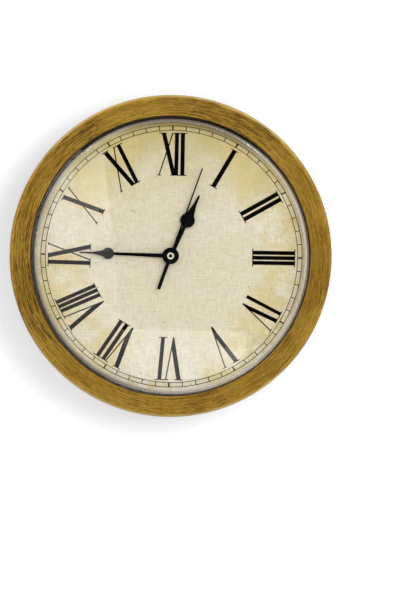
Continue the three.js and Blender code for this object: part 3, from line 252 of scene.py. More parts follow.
box_low, box_high = limits("back_box")
RIM_RADIUS = box_high.z
MOUTH = box_low.y
BACK_RADIUS = RIM_RADIUS - 4.5
FLOOR = -2.5
INNER_BACK_RADIUS = BACK_RADIUS - 2.35
INNER_MOUTH_RADIUS = RIM_RADIUS - 4.5
STEP_RADIUS = INNER_MOUTH_RADIUS + 1.2
RIM_REAR = MOUTH + 4
RIM_LEDGE = 2.3
STEP_REAR = MOUTH + 1.6

back_box = turned([
    (0, 0, 0),
    (BACK_RADIUS, 0, 3),
    (RIM_RADIUS - RIM_LEDGE, RIM_REAR, 0),
    (RIM_RADIUS, RIM_REAR, 0.3),
    (RIM_RADIUS, MOUTH, 0.9),
    (STEP_RADIUS, MOUTH, 0.3),
    (STEP_RADIUS, STEP_REAR, 0),
    (INNER_MOUTH_RADIUS, STEP_REAR, 0.2),
    (INNER_BACK_RADIUS, FLOOR, 2),
    (0, FLOOR, 0),
])

# Openings of the back box. Two keyholes take the wall screws, and two slots at three o'clock leave a
# tongue of the wall free to spring.

KEYHOLE_ACROSS = 42
KEYHOLE_HEIGHT = 76
KEYHOLE_RADIUS = 4.75
SLOT_HALF_WIDTH = 2.5
SLOT_LENGTH = 9
TONGUE_HALF_WIDTH = 9
TONGUE_SLOT = 4.5
TONGUE_ROOT = MOUTH + 13
SLOT_OVERCUT = 4


def prism(points, offset):
    """Fills the outline that the points draw and pulls it out to a solid. The mesh stays open."""
    draw([*points, points[0]])
    bpy.ops.mesh.select_linked()
    bpy.ops.mesh.remove_doubles(threshold=WELD)
    bpy.ops.mesh.edge_face_add()
    bpy.ops.mesh.extrude_region_move(TRANSFORM_OT_translate={"value": Vector(offset) * MM})


def block(low, high, rounding=0.0):
    """Box between two corners, with rounded edges. The mesh is closed."""
    middle = (Vector(low) + Vector(high)) / 2
    pick()
    bpy.ops.mesh.primitive_cube_add(size=MM, location=middle * MM)
    bpy.context.object.scale = Vector(high) - Vector(low)
    bpy.ops.object.transform_apply()
    bpy.ops.object.mode_set(mode="EDIT")
    if rounding:
        bpy.ops.mesh.bevel(offset=rounding * MM, segments=3, affect="EDGES")
    return closed()


def modify(piece, kind, **settings):
    """Gives a piece a modifier with these settings and applies it."""
    modifier = piece.modifiers.new(kind, kind)
    for name, setting in settings.items():
        setattr(modifier, name, setting)
    pick(piece)
    bpy.ops.object.modifier_apply(modifier=modifier.name)


def combine(piece, other, operation):
    """Cuts the other solid out of the piece, adds it or keeps what they share. The other is used up."""
    modify(piece, "BOOLEAN", operation=operation, solver="EXACT", object=other)
    bpy.data.objects.remove(other)


def mirrored(side, near, far):
    """Two places, lowest first, on the side 1 or on the side -1."""
    return sorted((side * near, side * far))


def arc(across, along, radius, start, end, steps=16):
    """Points on a circle about (across, along), from one angle in degrees to another."""
    angles = [math.radians(start + (end - start) * step / steps) for step in range(steps + 1)]
    return [(across + radius * math.cos(a), along + radius * math.sin(a)) for a in angles]


throat = math.degrees(math.acos(SLOT_HALF_WIDTH / KEYHOLE_RADIUS))
for side in (-1, 1):
    middle = side * KEYHOLE_ACROSS
    keyhole = [
        *arc(middle, KEYHOLE_HEIGHT + SLOT_LENGTH, SLOT_HALF_WIDTH, 0, 180),
        *arc(middle, KEYHOLE_HEIGHT, KEYHOLE_RADIUS, 180 - throat, 360 + throat, steps=40),
    ]
    prism([(x, -FLOOR, z) for x, z in keyhole], (0, 4 * FLOOR, 0))
    combine(back_box, closed(), "DIFFERENCE")
    foot, top = mirrored(side, TONGUE_HALF_WIDTH, TONGUE_HALF_WIDTH + TONGUE_SLOT)
    slot = block(
        (INNER_BACK_RADIUS - SLOT_OVERCUT, 2 * MOUTH, foot),
        (RIM_RADIUS + SLOT_OVERCUT, TONGUE_ROOT, top),
    )
    combine(back_box, slot, "DIFFERENCE")

# Fixed knuckles of the hinge, the rails that hold the shelves' ends, and the snap bead on the tongue.
# They are all moulded on the box.

hinge_low, hinge_high = limits("hinge_pin")
HINGE_X = (hinge_low.x + hinge_high.x) / 2
HINGE_Y = (hinge_low.y + hinge_high.y) / 2
KNUCKLE_RADIUS = 3.4
KNUCKLE_INNER = 5.5
KNUCKLE_OUTER = 17
PIN_BORE = 1.8
RAIL_LEVELS = ((31.7, 33.7), (36.5, 38.5))
RAIL_INNER = 97.5
RAIL_FRONT = -44
WALL_MIDDLE = BACK_RADIUS - 1.1
BEAD_RADIUS = 1.2
BEAD_HALF_LENGTH = 7
BEAD_HEIGHT = 0.5
BEAD_Y = MOUTH + 2
SHARP_ANGLE = math.radians(40)
SMOOTH_ANGLE = math.radians(32)


def rod(radius, length, middle, rotation=(0, 0, 0)):
    """Rod about its middle, upright unless it is turned."""
    pick()
    location = [place * MM for place in middle]
    bpy.ops.mesh.primitive_cylinder_add(
        vertices=32, radius=radius * MM, depth=length * MM, location=location, rotation=rotation,
    )
    bpy.ops.object.transform_apply()
    return bpy.context.object


def ease(piece, width):
    """Breaks the sharp edges of a piece, as every moulded or stamped part has them broken."""
    modify(piece, "BEVEL", width=width * MM, segments=2, limit_method="ANGLE", angle_limit=SHARP_ANGLE)


def assemble(piece, name, material, body, slot, *nodes):
    """Names a piece and gives it its material, the body it moves with and the nodes it stands for."""
    pick(piece)
    bpy.ops.object.shade_smooth_by_angle(angle=SMOOTH_ANGLE)
    piece.name = name
    piece.data.materials.clear()
    piece.data.materials.append(material)
    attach(piece, body)
    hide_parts(*nodes)


arm_end = -INNER_BACK_RADIUS - 0.5
knuckle = [
    *arc(HINGE_X, HINGE_Y, KNUCKLE_RADIUS, 90, 270, steps=24),
    (arm_end, HINGE_Y - KNUCKLE_RADIUS),
    (arm_end, HINGE_Y + KNUCKLE_RADIUS),
]
for side in (-1, 1):
    prism(
        [(x, y, side * KNUCKLE_INNER) for x, y in knuckle],
        (0, 0, side * (KNUCKLE_OUTER - KNUCKLE_INNER)),
    )
    bracket = closed()
    ease(bracket, 0.4)
    combine(back_box, bracket, "UNION")
    for level in (-1, 1):
        for rail_low, rail_high in RAIL_LEVELS:
            outer = math.sqrt(WALL_MIDDLE ** 2 - ((rail_low + rail_high) / 2) ** 2)
            left, right = mirrored(side, RAIL_INNER, outer)
            foot, top = mirrored(level, rail_low, rail_high)
            rail = block((left, RAIL_FRONT, foot), (right, FLOOR / 2, top), rounding=0.3)
            combine(back_box, rail, "UNION")
combine(back_box, rod(PIN_BORE, 4 * KNUCKLE_OUTER, (HINGE_X, HINGE_Y, 0)), "DIFFERENCE")
bead_outline = [
    (0, -BEAD_HALF_LENGTH, 0),
    (BEAD_RADIUS, -BEAD_HALF_LENGTH, 0.8),
    (BEAD_RADIUS, BEAD_HALF_LENGTH, 0.8),
    (0, BEAD_HALF_LENGTH, 0),
]
bead_at = (RIM_RADIUS + BEAD_HEIGHT - BEAD_RADIUS, BEAD_Y)
combine(back_box, turned(bead_outline, 24, bead_at), "UNION")
assemble(back_box, "back_box_shell", black_plastic, "safe_box", "black_plastic", "back_box")

# Shelves. Two black boards slid between the rails, with a low lip along the front edge that keeps
# small things from falling out.

SHELF_THICKNESS = 2.2
SHELF_WALL_GAP = 0.5

for name, level in (("shelf_upper", 1), ("shelf_lower", -1)):
    shelf_low, shelf_high = limits(name)
    board_near, board_far = sorted((shelf_low.z, shelf_high.z), key=abs)
    surface = board_near + level * SHELF_THICKNESS
    profile = rounded([
        (shelf_high.y, board_near, 0.3),
        (shelf_high.y, surface, 0.3),
        (shelf_low.y + SHELF_THICKNESS, surface, 0.8),
        (shelf_low.y + SHELF_THICKNESS, board_far, 0.6),
        (shelf_low.y, board_far, 0.6),
        (shelf_low.y, board_near, 0.6),
    ])
    prism([(-RIM_RADIUS, y, z) for y, z in profile], (2 * RIM_RADIUS, 0, 0))
    shelf = closed()
    inside = turned([
        (0, 0, 0),
        (INNER_BACK_RADIUS - SHELF_WALL_GAP, 0, 0),
        (INNER_MOUTH_RADIUS - SHELF_WALL_GAP, MOUTH, 0),
        (0, MOUTH, 0),
    ])
    combine(shelf, inside, "INTERSECT")
    for side in (-1, 1):
        left, right = mirrored(side, RAIL_INNER - SHELF_WALL_GAP, RIM_RADIUS)
        foot, top = sorted((surface, 2 * board_far))
        lip_end = block((left, 2 * MOUTH, foot), (right, 0, top))
        combine(shelf, lip_end, "DIFFERENCE")
    assemble(shelf, name + "_board", black_plastic, "safe_box", "black_plastic", name)

# Hinge pin. A steel pin with an upset head, pushed down through the knuckles. It shows bare between
# the two fixed knuckles.

PIN_RADIUS = 1.5
PIN_HEAD_RADIUS = 2.6
PIN_HEAD = 1.2


def axes(place):
    """The x, y and z of a place in metres."""
    return [place.add("SeparateXYZ", {}, {0: place}, output) for output in range(3)]


def stretched(place, x, y, z):
    """The place with its x, y and z multiplied, so that noise on it is drawn out where they're small."""
    across, along, upwards = axes(place)
    return place.add("CombineXYZ", {}, {0: across * x, 1: along * y, 2: upwards * z})


def drawn_steel(place):
    marks = noise(stretched(place, 60, 60, 2400), 1, detail=3, roughness=0.6)
    return {
        "Base Color": blend(marks, paint(150, 152, 156), paint(196, 198, 202)),
        "Roughness": 0.24 + 0.18 * marks,
        "Normal": relief(marks, 0.00001),
    }


steel = finish("drawn_steel", {"Metallic": 1.0}, drawn_steel)
pin_outline = [
    (0, hinge_low.z, 0),
    (PIN_RADIUS, hinge_low.z, 0.4),
    (PIN_RADIUS, hinge_high.z - PIN_HEAD, 0),
    (PIN_HEAD_RADIUS, hinge_high.z - PIN_HEAD, 0.2),
    (PIN_HEAD_RADIUS, hinge_high.z, 0.8),
    (0, hinge_high.z, 0),
]
hinge_pin = turned(pin_outline, 32, (HINGE_X, HINGE_Y))
assemble(hinge_pin, "hinge_pin_steel", steel, "safe_box", "steel", "hinge_pin")

# Bezel. A moulded ring with a broad face that is brushed with antique gold paint: dark streaks lie in
# the brush marks that follow the ring, and the paint is rubbed pale along the outer edge. That pale
# edge is also a painted highlight, kept to the top and bottom, and the inner wall of the opening is
# painted dark as painted shade.

bezel_low, bezel_high = limits("bezel")
FRONT_RADIUS = bezel_high.x
BEZEL_FACE = bezel_low.y
BEZEL_REAR = -49.9
FACE_DISH = 0.9
EDGE_RADIUS = 3.5
OPENING_RADIUS = FRONT_RADIUS - 16.8
OPENING_REAR = -60.7
SEAT_RADIUS = OPENING_RADIUS + 2.8
SKIRT_RADIUS = SEAT_RADIUS + 2.4
SKIRT_REAR = -54.7
BEZEL_WALL = 2.4
FACE_REAR = BEZEL_FACE + BEZEL_WALL


def layered(colour, *layers):
    """Lays (mask, shade) layers over a colour, the last on top."""
    for mask, shade in layers:
        colour = blend(mask, colour, paint(*shade))
    return colour


def brushed_gold(place):
    x, y, z = axes(place)
    radius = (x * x + z * z) ** 0.5
    sway = noise(place, 50, detail=2) * 0.0005
    around_x, around_z = x / radius, z / radius

    def streaks(length, width, detail):
        """Streaks along the ring, counted by how many lie round a radian and across a metre."""
        direction = place.add(
            "CombineXYZ", {}, {0: around_x * length, 1: (y + sway) * width, 2: around_z * length},
        )
        sockets = {"Vector": direction, "W": (radius + sway) * width, "Scale": 1.0}
        sockets |= {"Detail": detail, "Roughness": 0.62}
        return place.add("TexNoise", {"noise_dimensions": "4D"}, sockets)

    brush = streaks(30, 1900, 3)
    strokes = streaks(4.5, 1500, 3)
    flecks = streaks(9, 1800, 2)
    patches = between(noise(place, 34, detail=3), 0.38, 0.62)
    rubbed = between(noise(place, 15, detail=2) + x * 0.3, 0.62, 0.4)
    mean = brush * 0.5 + strokes * 0.5
    dark = between(mean, 0.51, 0.39)
    light = between(mean, 0.51, 0.62)
    # Pale outer edge: partly paint rubbed off, partly a painted highlight, so it is kept to the top and
    # bottom.
    rim_wear_and_highlight = between(radius, 0.1246, 0.1262) * between(y, -0.060, -0.0645) * between(z * z, 0.001, 0.012)
    # Painted shade: the inner wall of the opening is coloured dark brown, as the shade that falls there.
    opening_shade = between(radius, 0.1109, 0.1105)
    gold = layered(
        blend(patches, paint(170, 126, 30), paint(188, 145, 48)),
        (light * 0.85, (212, 175, 82)),
        (dark * (0.64 + rubbed * 0.24), (92, 65, 20)),
        (between(flecks + rubbed * 0.08, 0.58, 0.66) * (0.5 + rubbed * 0.28), (56, 42, 20)),
        (rim_wear_and_highlight * 0.6, (214, 190, 128)),
        (opening_shade * 0.9, (52, 42, 30)),
    )
    return {
        "Base Color": gold,
        "Roughness": 0.36 + 0.14 * dark + 0.05 * patches,
        "Normal": relief(brush, 0.00006),
    }


antique_gold = finish("antique_gold", {"Metallic": 0.7}, brushed_gold)
bezel_outline = [
    (FRONT_RADIUS, BEZEL_REAR, 0.3),
    (FRONT_RADIUS, BEZEL_FACE, EDGE_RADIUS),
    (OPENING_RADIUS, BEZEL_FACE + FACE_DISH, 1.2),
    (OPENING_RADIUS, OPENING_REAR, 0.2),
    (SEAT_RADIUS, OPENING_REAR, 0),
    (SEAT_RADIUS, SKIRT_REAR, 0),
    (SKIRT_RADIUS, SKIRT_REAR, 0),
    (SKIRT_RADIUS, FACE_REAR + FACE_DISH, 0),
    (FRONT_RADIUS - BEZEL_WALL, FACE_REAR, 1.2),
    (FRONT_RADIUS - BEZEL_WALL, BEZEL_REAR, 0),
]
bezel = turned(bezel_outline, 256)

# Swinging ears of the hinge and the screw bosses, which are moulded on the bezel. The ears carry the
# same gold paint.

EAR_INNER = 17.4
EAR_OUTER = 30.4
EAR_LEFT = -122.8
EAR_RIGHT = -116.9
BOSS_RADIUS = 3.3
EAR_LIMIT = FRONT_RADIUS - BEZEL_WALL / 2
EAR_FRONT = -80
EAR_REAR = -30


def disc(radius, front, rear, facets=FACETS):
    """Disc about the clock's own axis, from its front's y to its rear's."""
    return turned([(0, front, 0), (radius, front, 0), (radius, rear, 0), (0, rear, 0)], facets)


screws = [f"panel_screw_{number}" for number in (1, 2, 3, 4)]
screw_places = [sum(limits(name), Vector()) / 2 for name in screws]
ear_profile = [
    (EAR_LEFT, FACE_REAR),
    (EAR_LEFT, BEZEL_REAR),
    *arc(HINGE_X, HINGE_Y, KNUCKLE_RADIUS, 200, -20, steps=28),
    (EAR_RIGHT, BEZEL_REAR),
    (EAR_RIGHT, FACE_REAR),
]
for side in (-1, 1):
    prism([(x, y, side * EAR_INNER) for x, y in ear_profile], (0, 0, side * (EAR_OUTER - EAR_INNER)))
    ear = closed()
    ease(ear, 0.5)
    combine(ear, disc(EAR_LIMIT, EAR_FRONT, EAR_REAR), "INTERSECT")
    combine(bezel, ear, "UNION")
for place in screw_places:
    middle = (place.x, (BEZEL_REAR + FACE_REAR) / 2, place.z)
    boss = rod(BOSS_RADIUS, BEZEL_REAR - FACE_REAR, middle, (math.pi / 2, 0, 0))
    combine(bezel, boss, "UNION")
assemble(bezel, "bezel_ring", antique_gold, "clock_front", "gold_finish", "bezel")

# Rear panel of the front. A black moulding screwed into the bezel, whose middle is recessed over the
# rim of the box. The movement stands through its opening.

panel_low, panel_high = limits("rear_panel")
PANEL_REAR = panel_high.y
PANEL_RADIUS = FRONT_RADIUS - 0.4
PANEL_LIP = 1.6
PANEL_THICKNESS = 2
RECESS_RADIUS = RIM_RADIUS + 0.8
RECESS_FLOOR = -52.4
RECESS_FRONT = RECESS_FLOOR - PANEL_THICKNESS
RING_OUTER = 111.5
RING_INNER = 109
RING_FRONT = panel_low.y
MOVEMENT_GAP = 1
OPENING_REACH = 30
NOTCH_GAP = 0.3
POCKET_DEPTH = 0.8

rear_panel = turned([
    (0, RECESS_FLOOR, 0),
    (RECESS_RADIUS, RECESS_FLOOR, 1.2),
    (RECESS_RADIUS, PANEL_REAR, 0.5),
    (PANEL_RADIUS, PANEL_REAR, 0.9),
    (PANEL_RADIUS, PANEL_REAR - PANEL_LIP, 0),
    (RECESS_RADIUS + PANEL_THICKNESS, PANEL_REAR - PANEL_LIP, 0),
    (RECESS_RADIUS + PANEL_THICKNESS, RECESS_FRONT, 0.5),
    (RING_OUTER, RECESS_FRONT, 0),
    (RING_OUTER, RING_FRONT, 0.2),
    (RING_INNER, RING_FRONT, 0.2),
    (RING_INNER, RECESS_FRONT, 0),
    (0, RECESS_FRONT, 0),
])
case_low, case_high = limits("movement_case")
margin = Vector((MOVEMENT_GAP, OPENING_REACH, MOVEMENT_GAP))
combine(rear_panel, block(case_low - margin, case_high + margin), "DIFFERENCE")
for side in (-1, 1):
    foot, top = mirrored(side, EAR_INNER - NOTCH_GAP, EAR_OUTER + NOTCH_GAP)
    notch = block((-2 * FRONT_RADIUS, 2 * MOUTH, foot), (EAR_RIGHT + NOTCH_GAP, 0, top))
    combine(rear_panel, notch, "DIFFERENCE")
pocket = block(
    (RIM_RADIUS, BEAD_Y - BEAD_RADIUS, -BEAD_HALF_LENGTH - NOTCH_GAP),
    (RECESS_RADIUS + POCKET_DEPTH, BEAD_Y + BEAD_RADIUS, BEAD_HALF_LENGTH + NOTCH_GAP),
)
combine(rear_panel, pocket, "DIFFERENCE")
assemble(rear_panel, "rear_panel_shell", black_plastic, "clock_front", "black_plastic", "rear_panel")

# Panel screws. Four cross-headed self-tapping screws of bright steel, driven through the rear panel
# into the bosses of the bezel. One is modelled and the four are its copies.

SCREW_HEAD_RADIUS = 2.75
SCREW_HEAD_REAR = -46.1
SCREW_HEAD_SEAT = -47.7
SCREW_RADIUS = 1.25
CROSS_HALF_WIDTH = 0.42
CROSS_HALF_LENGTH = 1.7
CROSS_DEPTH = 1

screw_tip = limits(screws[0])[0].y
screw_outline = [
    (0, SCREW_HEAD_REAR, 0),
    (SCREW_HEAD_RADIUS, SCREW_HEAD_REAR, 1.1),
    (SCREW_HEAD_RADIUS, SCREW_HEAD_SEAT, 0.1),
    (SCREW_RADIUS, SCREW_HEAD_SEAT, 0),
    (SCREW_RADIUS, screw_tip, 0.6),
    (0, screw_tip, 0),
]
screw_model = turned(screw_outline, 32)
for across, upwards in ((CROSS_HALF_LENGTH, CROSS_HALF_WIDTH), (CROSS_HALF_WIDTH, CROSS_HALF_LENGTH)):
    cross = block(
        (-across, SCREW_HEAD_REAR - CROSS_DEPTH, -upwards),
        (across, SCREW_HEAD_REAR + CROSS_DEPTH, upwards),
    )
    combine(screw_model, cross, "DIFFERENCE")
for name, place in zip(screws, screw_places):
    pick(screw_model)
    bpy.ops.object.duplicate()
    screw = bpy.context.object
    bpy.ops.transform.translate(value=(place.x * MM, 0, place.z * MM))
    bpy.ops.object.transform_apply()
    assemble(screw, name + "_steel", steel, "clock_front", "steel", name)
bpy.data.objects.remove(screw_model)

# Dial. A thin round plate faced with paper that is printed to look like old parchment: cream in the
# middle, browner towards the rim, with stains, freckles and a fine weave. Painted light and shade lie
# over the print: a paler lower part, painted shadow of the bezel along the top, left and right edges,
# and a dark painted ring of shade at the rim.

DIAL_RADIUS = 112.5
DIAL_HOLE = 4.25
dial_low, dial_high = limits("dial")
DIAL_FACE = dial_low.y


def aged_paper(place):
    x, _, z = axes(place)
    radius = (x * x + z * z) ** 0.5
    slow = noise(place, 16, detail=3, roughness=0.6)
    stains = noise(place, 42, detail=6, roughness=0.66)
    mottle = noise(place, 190, detail=4, roughness=0.7)
    specks = noise(place, 300, detail=2)
    threads_up = noise(stretched(place, 850, 0, 110), 1, detail=2)
    threads_across = noise(place.add("CombineXYZ", {}, {0: x * 110, 1: 7.0, 2: z * 850}), 1, detail=2)
    weave = (threads_up + threads_across) * 0.5
    rim = between(radius + slow * 0.05, 0.085, 0.135)
    top = between(z + slow * 0.05, 0.05, 0.135)
    # Painted light: the paper is paler towards the bottom and a little towards the left.
    painted_light_low = between(0 - z - x * 0.25, 0.04, 0.105)
    tea = noise(place, 30, detail=5, roughness=0.62)
    outer = between(radius, 0.05, 0.085)
    shaded_top = between(radius, 0.0995, 0.1075) * between(z + x * 0.15, 0.08, 0.106)
    shaded_left = between(-1 * x - z * 0.5, 0.05, 0.104) * between(radius, 0.1045, 0.107)
    paper = layered(
        blend(rim, paint(230, 223, 198), paint(229, 219, 182)),
        (top * 0.72, (190, 166, 94)),
        (between(slow, 0.48, 0.66) * 0.5, (238, 231, 214)),
        (between(stains, 0.46, 0.57) * (0.06 + rim * 0.68), (206, 184, 112)),
        (between(stains, 0.46, 0.36) * (0.1 + rim * 0.5) * (1 - top), (238, 234, 214)),
        (painted_light_low * 0.65, (242, 238, 225)),
        (between(tea, 0.5, 0.6) * outer * 0.58, (222, 200, 130)),
        (between(tea, 0.5, 0.4) * outer * (0.55 - top * 0.55), (238, 232, 216)),
        (between(mottle, 0.49, 0.66) * (0.25 + rim * 0.25), (206, 200, 146)),
        (between(mottle, 0.46, 0.3) * 0.3, (238, 224, 208)),
        (between(weave, 0.42, 0.6) * 0.34, (196, 182, 146)),
        (between(specks, 0.68, 0.76) * 0.4, (160, 134, 86)),
        (shaded_top * 0.9, (116, 96, 58)),
        # Painted shade: the bezel's shadow along the right edge of the paper.
        (between(x, 0.085, 0.108) * 0.4, (176, 156, 112)),
        (shaded_left * 0.5, (96, 88, 84)),
        # Painted shade: a dark ring at the rim, set a little off centre, for the shade in the gap between
        # lens and bezel.
        (between(radius - x * 0.007 + z * 0.003, 0.1085, 0.109), (56, 47, 38)),
    )
    return {
        "Base Color": paper,
        "Roughness": 0.62 + 0.1 * weave,
        "Normal": relief(weave, 0.00002),
    }


parchment = finish("dial_parchment", {"Specular IOR Level": 0.2}, aged_paper)
dial = turned([
    (DIAL_HOLE, dial_high.y, 0),
    (DIAL_RADIUS, dial_high.y, 0.2),
    (DIAL_RADIUS, DIAL_FACE, 0.3),
    (DIAL_HOLE, DIAL_FACE, 0.15),
])
assemble(dial, "dial_plate", parchment, "clock_front", "dial_print", "dial")

# Minute track. Two fine printed circles with a tick at every minute and a bolder one at every hour.
# The print lies a little low and to the right on the plate, and its ticks slip a fraction of a degree.

PRINT_ACROSS = 0.7
PRINT_UP = -0.4
INK_THICKNESS = 0.05
TRACK_OUTER = 103.2
TRACK_INNER = 99.7
TRACK_LINE = 0.5
MINUTE_TICK = 0.65
HOUR_TICK = 1.15
TICK_SLIP = 0.33
TICK_SLIP_MOST = 32


def printed_ink(place):
    cloud = noise(place, 300, detail=3)
    return {
        "Base Color": blend(cloud, paint(3, 2, 1), paint(10, 8, 5)),
        "Roughness": 0.5 + 0.12 * cloud,
    }


ink = finish("printed_ink", {"Specular IOR Level": 0.0}, printed_ink)
ink_rear = DIAL_FACE + INK_THICKNESS
ink_front = DIAL_FACE - INK_THICKNESS


def shift_print(piece):
    """Moves a printed piece to where the print lies on the plate."""
    pick(piece)
    bpy.ops.transform.translate(value=(PRINT_ACROSS * MM, 0, PRINT_UP * MM))
    bpy.ops.object.transform_apply()


track_parts = []
for radius in (TRACK_INNER, TRACK_OUTER):
    inner, outer = radius - TRACK_LINE / 2, radius + TRACK_LINE / 2
    line = [(inner, ink_rear, 0), (outer, ink_rear, 0), (outer, ink_front, 0), (inner, ink_front, 0)]
    track_parts.append(turned(line, 240))
for count, width in ((60, MINUTE_TICK), (12, HOUR_TICK)):
    for step in range(count):
        angle = 360 * step / count
        slip = TICK_SLIP * math.cos(math.radians(angle - TICK_SLIP_MOST))
        tick = block((-width / 2, ink_front, TRACK_INNER), (width / 2, ink_rear, TRACK_OUTER))
        tick.rotation_euler.y = math.radians(angle - slip)
        bpy.ops.object.transform_apply()
        track_parts.append(tick)
pick(*track_parts)
bpy.ops.object.join()
minute_track = bpy.context.object
shift_print(minute_track)
assemble(minute_track, "minute_track", ink, "clock_front", "hand_black")

# Numerals. Twelve printed Roman numerals that stand with their feet to the centre. Each has bold main
# strokes, hairlines and long thin serifs.

NUMERAL_FOOT = 63.8
NUMERAL_TOP = 97.7
FOUR_FOOT = 67.3
SERIF = 0.7
HAIRLINE = 0.95
V_TIP = 0.5
# Degrees that an hour's numeral slips clockwise.
PRINT_SLIP = {5: 0.3, 6: 0.5, 7: 0.55, 8: 0.55, 9: 0.35}


def aim(points, angle, y):
    """Turns (across, along) points to this many degrees clockwise from twelve."""
    cos, sin = math.cos(math.radians(angle)), math.sin(math.radians(angle))
    return [(a * cos + r * sin, y, r * cos - a * sin) for a, r in points]


def stroke(top, foot, width):
    """A straight stroke between its middles at the top and at the foot."""
    half = width / 2
    return [(top - half, 1), (top + half, 1), (foot + half, 0), (foot - half, 0)]


def pointed(thick_top, thin_top, tip, width):
    """The letter V, whose bold and thin strokes meet in a blunt tip."""
    left, inner_left = thick_top - width / 2, thick_top + width / 2
    right, inner_right = thin_top + HAIRLINE / 2, thin_top - HAIRLINE / 2
    bold_fall = tip - V_TIP - left
    thin_fall = tip + V_TIP - right
    fall = (inner_right - inner_left) / (bold_fall - thin_fall)
    notch = (inner_left + bold_fall * fall, 1 - fall)
    ends = [(tip + V_TIP, 0), (tip - V_TIP, 0)]
    return [(left, 1), (inner_left, 1), notch, (inner_right, 1), (right, 1), *ends]


def crossed(thick_top, thick_foot, thin_top, thin_foot, width):
    """The letter X, with a bold stroke and a thin one."""
    return [stroke(thick_top, thick_foot, width), stroke(thin_top, thin_foot, HAIRLINE)]


def serifs(ends, low, high):
    """Bars between their left and right ends."""
    return [[(left, low), (left, high), (right, high), (right, low)] for left, right in ends]


# Each hour's strokes, and the ends of its serifs at the top and at the foot.
NUMERALS = {
    1: ([stroke(0, 0, 3.6)], [(-3.3, 3.3)], [(-3.3, 3.3)]),
    2: ([stroke(-2.45, -2.45, 3.4), stroke(2.45, 2.45, 3.4)], [(-5.7, 5.7)], [(-5.7, 5.7)]),
    3: ([stroke(-4, -4, 3.15), stroke(0, 0, 3.15), stroke(4, 4, 3.15)], [(-7.2, 7.2)], [(-7.2, 7.2)]),
    4: ([stroke(-5.1, -3.4, 2.8), pointed(1.2, 10.2, 3.1, 3.1)], [(-7.6, 3.6), (8.4, 12)], []),
    5: ([pointed(-5, 5.2, -0.9, 3.5)], [(-8, -1.9), (3.3, 7.1)], []),
    6: ([pointed(-8, 2.4, -3.3, 3.5), stroke(7.4, 5, 3.1)], [(-11, -4.5), (0.3, 11.6)], [(1.5, 8.3)]),
    7: (
        [pointed(-8.5, 1.4, -3.4, 3.8), stroke(3.8, 2, 3.1), stroke(9, 7.2, 3.1)],
        [(-11.8, -5.2), (-0.9, 12.8)], [(-0.9, 10.2)],
    ),
    8: (
        [pointed(-11.6, -1.6, -5.6, 3.5), stroke(3.8, 0.5, 3), stroke(7.6, 4.8, 3), stroke(11.6, 8.6, 3)],
        [(-14.4, -8.2), (-3, 14.7)], [(-2.6, 11.2)],
    ),
    9: (
        [stroke(-6.25, -6.6, 3.2), *crossed(-1.3, 6.4, 8.3, -4.3, 3.4)],
        [(-9.7, 1.2), (6.9, 9.3)], [(-10.3, -3.3), (3.1, 8.8)],
    ),
    10: (crossed(-3.6, 2.8, 4.9, -7.9, 3.4), [(-6.9, -1.5), (3.5, 6.3)], [(-9.1, -6.4), (0, 5.1)]),
    11: (
        [*crossed(-5.9, 1.2, 2.2, -9.7, 3.5), stroke(6.1, 4.5, 3.2)],
        [(-9.2, -3), (1.2, 9.75)], [(-11.1, -8.2), (-0.7, 7.4)],
    ),
    12: (
        [*crossed(-7.6, 0.8, -0.3, -11, 3.4), stroke(2.9, 2.65, 3.2), stroke(7.6, 7.5, 3.3)],
        [(-11.2, -5.3), (-0.6, 11.1)], [(-12.1, -9.3), (-1.9, 10.8)],
    ),
}
serif_share = SERIF / (NUMERAL_TOP - NUMERAL_FOOT)
for hour, (strokes, top_serifs, foot_serifs) in NUMERALS.items():
    foot = FOUR_FOOT if hour == 4 else NUMERAL_FOOT
    angle = 30 * hour + PRINT_SLIP.get(hour, 0)
    outlines = [*strokes, *serifs(top_serifs, 1 - serif_share, 1), *serifs(foot_serifs, 0, serif_share)]
    for outline in outlines:
        points = [(across, foot + share * (NUMERAL_TOP - foot)) for across, share in outline]
        prism(aim(points, angle, ink_rear), (0, -2 * INK_THICKNESS, 0))
numerals = closed(weld=0)
shift_print(numerals)
assemble(numerals, "dial_numerals", ink, "clock_front", "hand_black")

# Lens. A clear moulded dome with a nearly flat top, a round shoulder and an upright wall that ends in
# a flange behind the bezel. The wall and shoulder look grey, because one looks along the plastic. That
# grey is painted into the lens's colour, with painted shade to the upper left and painted light to the
# lower right.

LENS_RADIUS = 112.5
LENS_WALL_RADIUS = OPENING_RADIUS - 1.6
LENS_WALL = 1.5
LENS_THICKNESS = 1.4
LENS_SHOULDER = 4
LENS_CROWN = 0.9
CROWN_STEPS = 10
PLASTIC_IOR = 1.49
lens_low, lens_high = limits("lens")
LENS_TOP = lens_low.y
LENS_FLANGE = lens_high.y - 1.5

crown_radius = LENS_WALL_RADIUS - LENS_SHOULDER
shares = [step / CROWN_STEPS for step in range(CROWN_STEPS + 1)]
crown = [(crown_radius * share, LENS_TOP + LENS_CROWN * share ** 2) for share in shares]
shoulder_y = crown[-1][1] + LENS_SHOULDER
inner_shoulder = LENS_SHOULDER - LENS_THICKNESS
lens_outline = [
    *crown,
    *arc(crown_radius, shoulder_y, LENS_SHOULDER, -90, 0)[1:],
    (LENS_WALL_RADIUS, LENS_FLANGE),
    (LENS_RADIUS, LENS_FLANGE),
    (LENS_RADIUS, lens_high.y),
    (LENS_WALL_RADIUS - LENS_WALL, lens_high.y),
    *arc(crown_radius, shoulder_y, inner_shoulder, 0, -90)[:-1],
    *[(radius, along + LENS_THICKNESS) for radius, along in reversed(crown)],
]
lens = turned([(radius, along, 0) for radius, along in lens_outline], 512)


